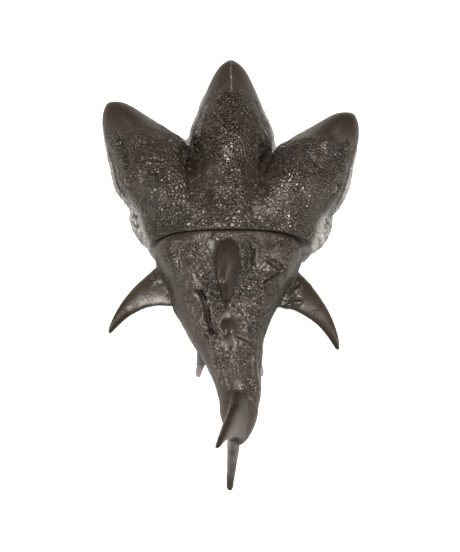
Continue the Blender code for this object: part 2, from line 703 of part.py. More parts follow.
def eyes_solid():
    bm = bmesh.new()
    for pose in HEADS:
        for side in (-1, 1):
            place = head_place(pose) @ Matrix.Translation((side * EYE_SPREAD, EYE_SETBACK, EYE_HEIGHT))
            bmesh.ops.create_uvsphere(bm, u_segments=10, v_segments=8, radius=EYE_RADIUS, matrix=place)
    return add_object("eyes", mesh_from(bm, "eyes"), helper=True)


def throat_side(stations, along):
    """Half width of the throat at a distance behind the snout."""
    for a, b in zip(stations, stations[1:]):
        if a.along <= along <= b.along:
            t = (along - a.along) / (b.along - a.along)
            return a.half_width + (b.half_width - a.half_width) * t
    return stations[-1].half_width


def gill_cutters():
    """Thin blades that leave a row of slits on each outer throat."""
    stations = jaw_stations()
    bm = bmesh.new()
    for pose in HEADS[1:]:
        side = 1 if pose.yaw_deg > 0 else -1
        for i in range(GILL_SLITS):
            along = 0.74 * HEAD_LENGTH + i * GILL_PITCH
            centre = (side * throat_side(stations, along), along, 0.62 * JAW_LINE_HEIGHT)
            place = (
                head_place(pose)
                @ Matrix.Translation(centre)
                @ Matrix.Rotation(math.radians(14.0), 4, "X")
                @ Matrix.Diagonal((GILL_DEPTH, GILL_HALF_WIDTH, GILL_HALF_LENGTH, 1.0))
            )
            bmesh.ops.create_uvsphere(bm, u_segments=8, v_segments=8, radius=1.0, matrix=place)
    return add_object("gill_cutters", mesh_from(bm, "gill_cutters"), helper=True)


def plastic(name, colour, roughness):
    material = bpy.data.materials.new(name)
    material.use_nodes = True
    shader = material.node_tree.nodes["Principled BSDF"]
    shader.inputs["Base Color"].default_value = (*colour, 1.0)
    shader.inputs["Roughness"].default_value = roughness
    shader.inputs["Metallic"].default_value = 0.0
    return material


def main():
    clear_scene()
    front = moulding("three_heads", front_skin(), -1)
    rear = moulding("body_and_tail", rear_skin(), 1)
    combine(front, plug_solid("socket_cutter", PLUG_CLEARANCE, 2 * PLUG_CLEARANCE), "DIFFERENCE", "socket")
    combine(front, gill_cutters(), "DIFFERENCE", "gills")
    combine(front, teeth_solid(), "UNION", "teeth")
    combine(front, eyes_solid(), "UNION", "eyes")
    combine(rear, plug_solid("plug", 0.0, 0.0), "UNION", "plug")
    front.data.materials.append(plastic("front_plastic", (0.046, 0.037, 0.028), 0.38))
    rear.data.materials.append(plastic("rear_plastic", (0.042, 0.034, 0.027), 0.34))


main()
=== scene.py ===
"""Looks of the three-headed shark figurine: its hide, mouths, teeth, eyes, floor, lights and camera.

Both mouldings get a dense skin, grown from a merged copy of their solid and carved with the folds,
furrows, ridges and pebbles of the hide. Teeth, gums, tongues and eyes are pieces of their own, set
in each head's frame. Metres, +Z up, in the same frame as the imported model.
"""

import logging
import math
from dataclasses import dataclass, field
from enum import Enum

import bmesh
import bpy
import numpy as np
from mathutils import Matrix, Vector, noise
from mathutils.bvhtree import BVHTree


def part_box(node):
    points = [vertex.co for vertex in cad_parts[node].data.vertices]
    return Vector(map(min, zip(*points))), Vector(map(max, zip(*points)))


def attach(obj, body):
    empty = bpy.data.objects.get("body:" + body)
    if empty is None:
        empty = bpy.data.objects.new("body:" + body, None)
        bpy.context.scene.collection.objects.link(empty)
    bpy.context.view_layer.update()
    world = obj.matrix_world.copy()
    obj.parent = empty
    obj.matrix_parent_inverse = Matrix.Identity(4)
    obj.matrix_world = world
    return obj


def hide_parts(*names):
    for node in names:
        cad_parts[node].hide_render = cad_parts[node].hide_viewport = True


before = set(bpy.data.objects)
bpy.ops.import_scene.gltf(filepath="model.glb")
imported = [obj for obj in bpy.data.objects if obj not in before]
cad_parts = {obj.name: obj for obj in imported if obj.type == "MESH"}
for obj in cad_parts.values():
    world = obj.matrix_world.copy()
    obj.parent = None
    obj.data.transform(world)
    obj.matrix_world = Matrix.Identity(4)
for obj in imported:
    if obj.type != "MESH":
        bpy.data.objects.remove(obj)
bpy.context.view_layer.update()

MM = 0.001
BODY = "root"
GILL_SLITS = 5
# Without a seed, noise_vector takes its offsets from the clock and each run differs a little.
NOISE_SEED = 7
SECOND_DORSAL = (1.6 * MM, 36.0 * MM)
# Edges of the solid that stay sharp when it is rounded, and how sharp.
SHARP_ANGLE = math.radians(50.0)
SHARPNESS = 0.8
# How a carving stroke is laid: its wander in plan, the height it drops from, the distance of its
# points, and how many half widths to each side it can reach.
WANDER_PITCH = 5.0 * MM
WANDER_REACH = 0.55 * MM
DROP_HEIGHT = 0.2
STROKE_SPACING = 0.7 * MM
STROKE_REACH = 3.2
SEAM_Y = -8.2 * MM
Colour = tuple[float, float, float]
Sizes = tuple[float, float, float]
Path = tuple[tuple[float, float], ...]

log = logging.getLogger("figurine")


class Slot(Enum):
    """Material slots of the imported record."""

    FRONT = "front_plastic"
    REAR = "rear_plastic"


class Relief(Enum):
    """How a stroke of the carving tool changes the hide."""

    RIDGE = "ridge"
    FURROW = "furrow"
    FOLD = "fold"


RIDGE, FURROW, FOLD = Relief


def smoothstep(low: float, high: float, value: np.ndarray) -> np.ndarray:
    """Ease from 0 at low to 1 at high."""
    t = np.clip((value - low) / (high - low), 0.0, 1.0)
    return t * t * (3.0 - 2.0 * t)


def ease_mm(low: float, high: float, value: np.ndarray) -> np.ndarray:
    """Ease from 0 at low to 1 at high, both in millimetres, for a value in metres."""
    return smoothstep(low * MM, high * MM, value)


def new_object(name: str, data: bpy.types.ID) -> bpy.types.Object:
    """Make an object and put it in the scene's collection."""
    piece = bpy.data.objects.new(name, data)
    bpy.context.scene.collection.objects.link(piece)
    return piece


def turned(degrees: float, axis: str) -> Matrix:
    """Matrix of a turn about an axis."""
    return Matrix.Rotation(math.radians(degrees), 4, axis)


def applied(source: bpy.types.Object, name: str) -> bpy.types.Mesh:
    """Work an object's modifiers into a new mesh and remove the object.

    Args:
        source: Object whose modifiers are worked in.
        name: Name of the new mesh.

    Returns:
        The mesh after all modifiers.
    """
    bpy.context.view_layer.update()
    graph = bpy.context.evaluated_depsgraph_get()
    mesh = bpy.data.meshes.new_from_object(source.evaluated_get(graph))
    mesh.name = name
    bpy.data.objects.remove(source, do_unlink=True)
    return mesh


def rows_of(items: bpy.types.bpy_prop_collection, key: str) -> np.ndarray:
    """Read one vector of each item into an array of rows."""
    values = np.zeros(len(items) * 3)
    items.foreach_get(key, values)
    return values.reshape(-1, 3)


def put_attribute(mesh: bpy.types.Mesh, name: str, values: np.ndarray) -> None:
    """Write a value for each vertex, which a material can read.

    Args:
        mesh: Mesh that gets the attribute.
        name: Name of the attribute.
        values: One value for each vertex.
    """
    layer = mesh.attributes.new(name, "FLOAT", "POINT")
    layer.data.foreach_set("value", np.asarray(values, dtype=np.float32))


def smooth_shaded(mesh: bpy.types.Mesh) -> bpy.types.Mesh:
    """Shade all faces smooth."""
    mesh.polygons.foreach_set("use_smooth", np.ones(len(mesh.polygons), dtype=bool))
    return mesh


def opened(mesh: bpy.types.Mesh) -> bmesh.types.BMesh:
    """Read a mesh into a new bmesh."""
    bm = bmesh.new()
    bm.from_mesh(mesh)
    return bm


def written(bm: bmesh.types.BMesh, mesh: bpy.types.Mesh) -> bpy.types.Mesh:
    """Write a bmesh into a mesh and free it."""
    bm.to_mesh(mesh)
    bm.free()
    return mesh


def relax(bm: bmesh.types.BMesh, verts: list[bmesh.types.BMVert]) -> None:
    """Move each vertex halfway to the middle of its neighbours."""
    bmesh.ops.smooth_vert(bm, verts=verts, factor=0.5, use_axis_x=True, use_axis_y=True, use_axis_z=True)


def spline(points: list[Vector], spacing: float) -> list[Vector]:
    """Even points on a smooth curve through the given ones.

    Args:
        points: Places that the curve passes through.
        spacing: Largest distance between two points of the result.

    Returns:
        Points along the curve, both ends included.
    """
    out = []
    last = len(points) - 1
    for i in range(last):
        before, a = points[max(i - 1, 0)], points[i]
        b, after = points[i + 1], points[min(i + 2, last)]
        steps = max(1, math.ceil((b - a).length / spacing))
        for k in range(steps):
            t = k / steps
            out.append(0.5 * (2 * a + (b - before) * t + (2 * before - 5 * a + 4 * b - after) * t * t
                              + (3 * a - before - 3 * b + after) * t ** 3))
    out.append(points[last])
    return out


@dataclass(frozen=True)
class Head:
    """Place of one head and the sizes that its mouth and eyes share with the solid.

    The head's own frame has the tip of the snout over its origin and the neck towards +Y.
    """

    name: str
    pivot_x: float
    pivot_y: float
    yaw: float
    pitch: float
    roll: float
    length_share: float = 1.0
    length: float = 66.0 * MM
    half_width: float = 20.3 * MM
    jaw_line: float = 28.0 * MM
    chin_setback: float = 15.0 * MM
    chin_height: float = 8.0 * MM
    eye_setback: float = 40.0 * MM
    eye_height: float = 41.5 * MM
    eye_spread: float = 13.9 * MM
    eye_radius: float = 3.15 * MM

    @property
    def outer(self) -> int:
        """Side of the head that faces away from the middle one: 1, -1, or 0 for the middle head."""
        return (self.yaw > 0) - (self.yaw < 0)

    def place(self) -> Matrix:
        """Matrix from the head's frame to the figurine's."""
        return (
            Matrix.Translation((self.pivot_x, self.pivot_y, 0.0))
            @ turned(self.yaw, "Z")
            @ Matrix.Translation((0.0, 0.0, self.jaw_line))
            @ turned(self.roll, "Y")
            @ turned(-self.pitch, "X")
            @ Matrix.Translation((0.0, -self.length, -self.jaw_line))
            @ Matrix.Diagonal((1.0, self.length_share, 1.0, 1.0))
        )

    def own(self, places: np.ndarray) -> np.ndarray:
        """Places in the head's own frame, as an array of rows."""
        back = np.array(self.place().inverted())
        return places @ back[:3, :3].T + back[:3, 3]

    def shared(self, places: np.ndarray) -> np.ndarray:
        """Places of the head's own frame in the figurine's, as an array of rows."""
        there = np.array(self.place())
        return places @ there[:3, :3].T + there[:3, 3]


HEADS = (
    Head("centre", 0.0 * MM, -34.0 * MM, 0.0, 2.5, 0.0),
    Head("left", 19.5 * MM, -25.0 * MM, 36.0, 0.0, 4.0),
    Head("right", -17.4 * MM, -20.6 * MM, -38.0, 0.0, -4.0, 0.95),
)

# One side's upper lip in a head's own frame, in millimetres.
UPPER_LIP = ((2.4, 2.3, 37.5), (7.3, 7.3, 35.8), (11.4, 14.9, 33.0), (14.8, 22.1, 30.0), (18.1, 29.0, 27.1),
             (20.0, 36.0, 24.9), (20.2, 42.2, 22.9), (19.3, 45.5, 20.3))


class Nodes:
    """Short hand for making and joining shader nodes in one tree."""

    def __init__(self, tree: bpy.types.NodeTree) -> None:
        """Keep the tree that nodes are made in."""
        self.tree = tree

    def add(self, kind: str, **values: object) -> bpy.types.Node:
        """Make a node and set its properties."""
        node = self.tree.nodes.new(kind)
        for key, value in values.items():
            setattr(node, key, value)
        return node

    def join(self, source: bpy.types.NodeSocket, target: bpy.types.NodeSocket) -> None:
        """Join an output to an input."""
        self.tree.links.new(source, target)

    def feed(self, node: bpy.types.Node, values: dict[object, object]) -> bpy.types.Node:
        """Give a node's inputs values, or join them where a value is a socket."""
        for key, value in values.items():
            target = node.inputs[key]
            if isinstance(value, bpy.types.NodeSocket):
                self.join(value, target)
            else:
                target.default_value = (*value, 1.0) if target.type == "RGBA" else value
        return node

    def place(self) -> bpy.types.NodeSocket:
        """Object coordinates."""
        return self.add("ShaderNodeTexCoord").outputs["Object"]

    def attribute(self, label: str) -> bpy.types.NodeSocket:
        """Value that the mesh keeps for each vertex."""
        return self.add("ShaderNodeAttribute", attribute_name=label).outputs["Fac"]

    def math(self, operation: str, a: object, b: object, clamp: bool = False) -> bpy.types.NodeSocket:
        """Result of a Math node."""
        node = self.add("ShaderNodeMath", operation=operation, use_clamp=clamp)
        return self.feed(node, {0: a, 1: b}).outputs[0]

    def plus(self, a: object, b: object, clamp: bool = False) -> bpy.types.NodeSocket:
        """Sum of two values."""
        return self.math("ADD", a, b, clamp)

    def minus(self, a: object, b: object, clamp: bool = False) -> bpy.types.NodeSocket:
        """Difference of two values."""
        return self.math("SUBTRACT", a, b, clamp)

    def times(self, a: object, b: object) -> bpy.types.NodeSocket:
        """Product of two values."""
        return self.math("MULTIPLY", a, b)

    def vector(self, operation: str, values: dict[object, object]) -> bpy.types.NodeSocket:
        """Result of a Vector Math node."""
        return self.feed(self.add("ShaderNodeVectorMath", operation=operation), values).outputs[0]

    def mix(self, factor: object, a: object, b: object) -> bpy.types.NodeSocket:
        """Colour mixed from two by a factor."""
        node = self.add("ShaderNodeMix", data_type="RGBA")
        return self.feed(node, {0: factor, 6: a, 7: b}).outputs[2]

    def ramp(self, value: object, low: float, high: float, start: float = 0.0,
             end: float = 1.0) -> bpy.types.NodeSocket:
        """Smooth step of a value, from start at low to end at high."""
        node = self.add("ShaderNodeMapRange", interpolation_type="SMOOTHSTEP")
        values = {"Value": value, "From Min": low, "From Max": high, "To Min": start, "To Max": end}
        return self.feed(node, values).outputs["Result"]

    def noise(self, vector: object, scale: object, detail: float = 2.0, roughness: float = 0.5,
              output: str = "Fac") -> bpy.types.NodeSocket:
        """Output of a Noise Texture node."""
        values = {"Vector": vector, "Scale": scale, "Detail": detail, "Roughness": roughness}
        return self.feed(self.add("ShaderNodeTexNoise"), values).outputs[output]

    def emboss(self, shader: bpy.types.Node, height: object, strength: float, distance: float) -> None:
        """Bump a shader's normal by a height."""
        bump = self.feed(self.add("ShaderNodeBump"),
                         {"Strength": strength, "Distance": distance, "Height": height})
        self.join(bump.outputs["Normal"], shader.inputs["Normal"])


class GroupNodes(Nodes):
    """Maker of a shader group's nodes, with the group's own inputs and outputs."""

    def __init__(self, name: str, inputs: dict[str, tuple], outputs: dict[str, tuple]) -> None:
        """Start a shader group.

        Args:
            name: Name of the group.
            inputs: Names of its inputs by their kind: Vector, Color or Float.
            outputs: Names of its outputs by their kind.
        """
        super().__init__(bpy.data.node_groups.new(name, "ShaderNodeTree"))
        for in_out, sockets in (("INPUT", inputs), ("OUTPUT", outputs)):
            for kind, labels in sockets.items():
                for label in labels:
                    self.tree.interface.new_socket(name=label, in_out=in_out, socket_type="NodeSocket" + kind)
        self.given = self.add("NodeGroupInput").outputs
        self.out = self.add("NodeGroupOutput")


def pebble_group() -> bpy.types.NodeTree:
    """Embossed hide: short winding wrinkles among small flat-topped pebbles, stronger in patches.

    Returns:
        Group with inputs Vector, Wrinkles (count in a metre), Wander and Amount, and the outputs
        Height, Crest and Crevice.
    """
    nodes = GroupNodes("hide_pebbles", {"Vector": ("Vector",), "Float": ("Wrinkles", "Wander", "Amount")},
                       {"Float": ("Height", "Crest", "Crevice")})
    given = nodes.given
    drift = nodes.noise(given["Vector"], 420.0, output="Color")
    centred = nodes.vector("SUBTRACT", {0: drift, 1: (0.5, 0.5, 0.5)})
    scaled = nodes.vector("SCALE", {0: centred, "Scale": given["Wander"]})
    moved = nodes.vector("ADD", {0: given["Vector"], 1: scaled})
    wrinkles = nodes.feed(nodes.add("ShaderNodeTexGabor", gabor_type="3D"),
                          {"Vector": moved, "Scale": nodes.times(given["Wrinkles"], 0.50),
                           "Frequency": 2.0, "Anisotropy": 0.0})
    cells = nodes.feed(nodes.add("ShaderNodeTexVoronoi", feature="DISTANCE_TO_EDGE"),
                       {"Vector": moved, "Scale": given["Wrinkles"]})
    plateau = nodes.ramp(cells.outputs["Distance"], 0.0, 0.22)
    patch = nodes.noise(given["Vector"], 85.0)
    strength = nodes.times(nodes.ramp(patch, 0.34, 0.58, 0.35, 1.0), given["Amount"])
    level = nodes.plus(nodes.times(wrinkles.outputs["Value"], 0.45), nodes.times(plateau, 0.55))
    # Crests in these patches get a painted highlight, and crevices get painted shade.
    lit = nodes.ramp(nodes.noise(given["Vector"], 60.0), 0.40, 0.66)
    crest = nodes.times(nodes.ramp(level, 0.66, 0.92), lit)
    crevice = nodes.ramp(level, 0.52, 0.22)
    nodes.feed(nodes.out, {"Height": nodes.times(level, strength), "Crest": nodes.times(crest, strength),
                           "Crevice": nodes.times(crevice, strength)})
    return nodes.tree


def colour_and_painted_light_group() -> bpy.types.NodeTree:
    """Colour of the hide: painted shade in furrows and crevices, painted highlights on crests and stroke tops,
    and pale undersides and throats that are partly pale paint and partly painted reflection.

    Returns:
        Group with the inputs Vector, Top, Pale, the painted shade colour, the painted highlight colour, the
        mask of pale paint and painted light, Furrow, Crest, Crevice and Grain, and the outputs Colour and
        Gloss Loss.
    """
    nodes = GroupNodes(
        "hide_wash",
        {"Vector": ("Vector",), "Color": ("Top", "Pale", "Painted Shade", "Painted Highlight"),
         "Float": ("Pale And Painted Light", "Furrow", "Crest", "Crevice", "Grain")},
        {"Color": ("Colour",), "Float": ("Gloss Loss",)},
    )
    given = nodes.given
    clouds = nodes.noise(given["Vector"], 38.0, 3.0, 0.6)
    mottle = nodes.noise(given["Vector"], 160.0)
    edge = nodes.plus(given["Pale And Painted Light"], nodes.times(nodes.minus(mottle, 0.5), 0.35))
    body = nodes.mix(nodes.ramp(edge, 0.15, 1.0), given["Top"], given["Pale"])
    varied = nodes.feed(nodes.add("ShaderNodeHueSaturation"),
                        {"Color": body, "Value": nodes.ramp(clouds, 0.3, 0.7, 0.84, 1.18)})
    spared = nodes.minus(0.75, nodes.times(given["Pale And Painted Light"], 0.50))
    # Painted shade in furrows and crevices, weaker on the pale parts.
    painted_shade_share = nodes.plus(nodes.times(given["Furrow"], 0.85), nodes.times(given["Crevice"], spared), clamp=True)
    # Painted highlight on the crests, weaker on the pale parts.
    painted_highlight_share = nodes.times(given["Crest"], nodes.minus(0.80, given["Pale And Painted Light"], clamp=True))
    painted_highlight = nodes.mix(painted_highlight_share, varied.outputs["Color"], given["Painted Highlight"])
    shaded = nodes.math("MAXIMUM", nodes.times(given["Crevice"], 0.25), given["Furrow"])
    dull = nodes.plus(nodes.times(shaded, 0.35), nodes.times(nodes.minus(clouds, 0.5), 0.22))
    bare = nodes.times(nodes.minus(1.0, given["Grain"]), 0.12)
    glazed = nodes.ramp(nodes.noise(given["Vector"], 30.0, 1.0), 0.50, 0.62, 0.0, 0.13)
    wear_and_highlight = nodes.plus(dull, bare)
    nodes.feed(nodes.out, {"Colour": nodes.mix(painted_shade_share, painted_highlight, given["Painted Shade"]),
                           "Gloss Loss": nodes.minus(wear_and_highlight, nodes.times(glazed, given["Grain"]))})
    return nodes.tree


def new_material(name: str) -> tuple[bpy.types.Material, Nodes, bpy.types.Node]:
    """Start a material.

    Args:
        name: Name of the material.

    Returns:
        The material, its node maker and its shader.
    """
    made = bpy.data.materials.new(name)
    made.use_nodes = True
    return made, Nodes(made.node_tree), made.node_tree.nodes["Principled BSDF"]


@dataclass(frozen=True)
class HideFinish:
    """Semi-gloss moulded plastic with an embossed hide, painted shade and highlights, and a red painted mouth
    lining.
    """

    name: str
    top: Colour
    # Pale paint of undersides and throats; it also carries painted reflection and painted highlights.
    pale: Colour
    # Colour of the painted shade in furrows and crevices.
    wash: Colour
    # Colour of the painted highlight on crests.
    painted_highlight: Colour
    roughness: float
    wrinkles: float
    emboss: float
    lining: Colour = (0.30, 0.045, 0.035)
    wander: float = 1.9 * MM
    specular: float = 0.45

    def material(self, groups: dict[str, bpy.types.NodeTree]) -> bpy.types.Material:
        """Build the material.

        Args:
            groups: The shared shader groups by name.

        Returns:
            The finished material.
        """
        made, nodes, shader = new_material(self.name)
        place = nodes.place()
        grain = nodes.attribute("grain")
        relief = nodes.feed(
            nodes.add("ShaderNodeGroup", node_tree=groups["pebbles"]),
            {"Vector": place, "Wrinkles": self.wrinkles, "Wander": self.wander, "Amount": grain},
        ).outputs
        wash = nodes.feed(
            nodes.add("ShaderNodeGroup", node_tree=groups["wash"]),
            {"Vector": place, "Top": self.top, "Pale": self.pale, "Painted Shade": self.wash, "Painted Highlight": self.painted_highlight,
             "Pale And Painted Light": nodes.attribute("pale_and_painted_light"), "Furrow": nodes.attribute("furrow"),
             "Crest": relief["Crest"], "Crevice": relief["Crevice"], "Grain": grain},
        ).outputs
        nodes.feed(shader, {
            "Base Color": nodes.mix(nodes.attribute("mouth"), wash["Colour"], self.lining),
            "Roughness": nodes.plus(wash["Gloss Loss"], self.roughness, clamp=True),
            "Specular IOR Level": self.specular,
            "IOR": 1.5,
        })
        nodes.emboss(shader, relief["Height"], 1.0, self.emboss)
        return made


@dataclass(frozen=True)
class PaintFinish:
    """Plain painted plastic for the small parts of a mouth, with a soft mottle and fine grain."""

    name: str
    colour: Colour
    shade: Colour
    roughness: float
    grain: float
    coat: float = 0.0

    def material(self) -> bpy.types.Material:
        """Build the material and return it."""
        made, nodes, shader = new_material(self.name)
        place = nodes.place()
        mottle = nodes.noise(place, 420.0, 3.0, 0.6)
        # Darker in random patches and towards a tooth's root.
        mottled_and_darker_at_root = nodes.plus(nodes.ramp(mottle, 0.35, 0.75, 0.0, 0.45), nodes.attribute("root"), clamp=True)
        nodes.feed(shader, {
            "Base Color": nodes.mix(mottled_and_darker_at_root, self.colour, self.shade),
            "Roughness": nodes.ramp(mottle, 0.2, 0.8, self.roughness - 0.06, self.roughness + 0.10),
            "Coat Weight": self.coat,
        })
        nodes.emboss(shader, nodes.noise(place, self.grain, 3.0, 0.6), 0.5, 0.10 * MM)
        return made


@dataclass(frozen=True)
class EyeFinish:
    """Glossy painted eye: black pupil, dark amber iris with flecks, and a dark rim."""

    name: str
    pupil: Colour = (0.004, 0.004, 0.005)
    iris: Colour = (0.030, 0.020, 0.010)
    fleck: Colour = (0.075, 0.045, 0.016)
    rim: Colour = (0.012, 0.011, 0.010)

    def material(self) -> bpy.types.Material:
        """Build the material and return it."""
        made, nodes, shader = new_material(self.name)
        flecks = nodes.noise(nodes.place(), 2600.0)
        turn = nodes.plus(nodes.attribute("from_axis"), nodes.times(nodes.minus(flecks, 0.5), 0.05))
        iris = nodes.mix(flecks, self.iris, self.fleck)
        inner = nodes.mix(nodes.ramp(turn, 0.30, 0.36), self.pupil, iris)
        nodes.feed(shader, {
            "Base Color": nodes.mix(nodes.ramp(turn, 0.70, 0.78), inner, self.rim),
            "Roughness": 0.12,
            "Coat Weight": 0.6,
            "Coat Roughness": 0.05,
        })
        return made


@dataclass(frozen=True)
class Stroke:
    """One pull of the carving tool over the hide.

    The path is given in plan, in millimetres, and dropped onto the surface from above. width is
    the stroke's half width and height its relief, both in millimetres. taper is the share of its
    length over which each end fades. The next field is how much painted shade its hollow gets, and
    the last how much painted highlight its top gets, both from 0 to 1.
    """

    name: str
    relief: Relief
    path: Path
    width: float
    height: float
    taper: float = 0.22
    wash: float = 0.7
    wear_and_highlight: float = 0.0


def dropped(tree: BVHTree, path: Path, spacing: float) -> np.ndarray:
    """Points of a plan path on the surface below, evenly spaced.

    Args:
        tree: Search tree of the surface.
        path: Plan points in millimetres.
        spacing: Distance between the points in metres.

    Returns:
        Rows of places on the surface.
    """
    flat = spline([Vector((x * MM, y * MM, 0.0)) for x, y in path], spacing)
    out = []
    for point in flat:
        point = point + noise.noise_vector(point / WANDER_PITCH) * WANDER_REACH
        hit = tree.ray_cast(Vector((point.x, point.y, DROP_HEIGHT)), Vector((0.0, 0.0, -1.0)))[0]
        if hit is not None:
            out.append(hit)
    return np.array(out)


class Carver:
    """Moves the vertices of a dense skin along their normals and keeps masks of what it did, with the painted
    shade of its hollows and the painted highlight of its tops.
    """

    def __init__(self, mesh: bpy.types.Mesh) -> None:
        """Read the mesh's places and normals."""
        self.mesh = mesh
        self.places = rows_of(mesh.vertices, "co")
        self.normals = rows_of(mesh.vertex_normals, "vector")
        self.lift = np.zeros(len(self.places))
        # How much painted shade each place gets.
        self.furrow = np.zeros(len(self.places))
        # How much painted highlight each place gets.
        self.wear_and_highlight = np.zeros(len(self.places))
        self.tree = BVHTree.FromPolygons(
            [tuple(row) for row in self.places], [tuple(face.vertices) for face in mesh.polygons]
        )

    def stroke(self, stroke: Stroke) -> None:
        """Carve one stroke into the skin."""
        self.line(dropped(self.tree, stroke.path, STROKE_SPACING), stroke)

    def trace(self, places: np.ndarray, stroke: Stroke) -> None:
        """Carve a stroke along the skin's nearest places to the given ones."""
        self.line(np.array([self.tree.find_nearest(Vector(row))[0] for row in places]), stroke)

    def line(self, line: np.ndarray, stroke: Stroke) -> None:
        """Carve a stroke along places that lie on the surface.

        Args:
            line: Rows of places.
            stroke: The stroke's relief, sizes and paint.
        """
        if len(line) < 2:
            log.warning("%s: the stroke misses the skin", stroke.name)
            return
        width, height = stroke.width * MM, stroke.height * MM
        low, high = line.min(0) - STROKE_REACH * width, line.max(0) + STROKE_REACH * width
        index = np.flatnonzero(np.all((self.places > low) & (self.places < high), axis=1))
        if not len(index):
            return
        apart = self.places[index][:, None, :] - line[None, :, :]
        squared = np.einsum("ijk,ijk->ij", apart, apart)
        nearest = squared.argmin(axis=1)
        own = np.arange(len(index))
        distance = np.sqrt(squared[own, nearest])
        share = nearest / (len(line) - 1)
        ends = np.array([0.8 + 0.55 * noise.noise(Vector(row) / (4.0 * MM)) for row in line])[nearest]
        if stroke.taper:
            ends = ends * smoothstep(0.0, stroke.taper, share) * smoothstep(0.0, stroke.taper, 1.0 - share)
        ahead = np.gradient(line, axis=0)
        ahead /= np.maximum(np.linalg.norm(ahead, axis=1), 1e-9)[:, None]
        side = np.einsum("ij,ij->i", apart[own, nearest], np.cross(ahead[nearest], self.normals[index]))
        if stroke.relief is FOLD:
            along = (distance ** 2 - side ** 2) / (4 * width ** 2)
            swell = np.exp(-(((side - 0.8 * width) / width) ** 2) - along)
            dark = np.exp(-(((side + 0.35 * width) / (0.42 * width)) ** 2) - along)
            shape = swell - 0.9 * dark
        else:
            shape = np.exp(-((distance / width) ** 2)) * (1.0 if stroke.relief is RIDGE else -1.0)
            dark = -shape
        self.lift[index] += height * shape * ends
        # Painted shade in the stroke's hollow and painted highlight on its top.
        self.furrow[index] = np.maximum(self.furrow[index], np.clip(dark, 0, 1) * ends * stroke.wash)
        self.wear_and_highlight[index] = np.maximum(self.wear_and_highlight[index], np.clip(shape, 0, 1) * ends * stroke.wear_and_highlight)

    def apply(self) -> None:
        """Move the vertices by what the strokes have gathered."""
        self.places = self.places + self.normals * self.lift[:, None]
        self.mesh.vertices.foreach_set("co", self.places.ravel())
        self.mesh.update()
        self.lift[:] = 0.0
        self.normals = rows_of(self.mesh.vertex_normals, "vector")


def hide_noise(places: np.ndarray, amount: np.ndarray, pebble: float) -> tuple[np.ndarray, np.ndarray]:
    """Heights of a pebbled, wrinkled hide.

    Args:
        places: Rows of places.
        amount: How much hide each place has; places with next to none are skipped.
        pebble: Size of a pebble in metres.

    Returns:
        Heights, which may be below 0, and furrow depths from 0 to 1, times each place's amount.
    """
    heights = np.zeros(len(places))
    depths = np.zeros(len(places))
    for i in np.flatnonzero(amount > 0.02):
        point = Vector(places[i])
        warp = noise.noise_vector(point / (5.0 * MM)) * (1.1 * MM)
        nearest, second = noise.voronoi((point + warp) / pebble)[0][:2]
        gap = min(1.0, (second - nearest) / 0.42)
        dome = gap * (2.0 - gap)
        lump = 1.6 * noise.noise(point / (9.0 * MM)) + 0.8 * noise.noise(point / (4.2 * MM))
        crease = noise.noise((point + 2 * warp) / (5.0 * MM) + Vector((7, 3, 1)))
        crease = (1.0 - min(1.0, abs(crease) / 0.13)) ** 2
        fine = noise.noise((point + warp) / (2.4 * MM) + Vector((2, 9, 5)))
        fine = (1.0 - min(1.0, abs(fine) / 0.20)) ** 2
        heights[i] = 0.34 * dome + 0.95 * lump - 0.60 * crease - 0.35 * fine
        depths[i] = max(0.6 * (1.0 - dome) ** 2, crease, 0.6 * fine)
    return heights * amount, depths * amount


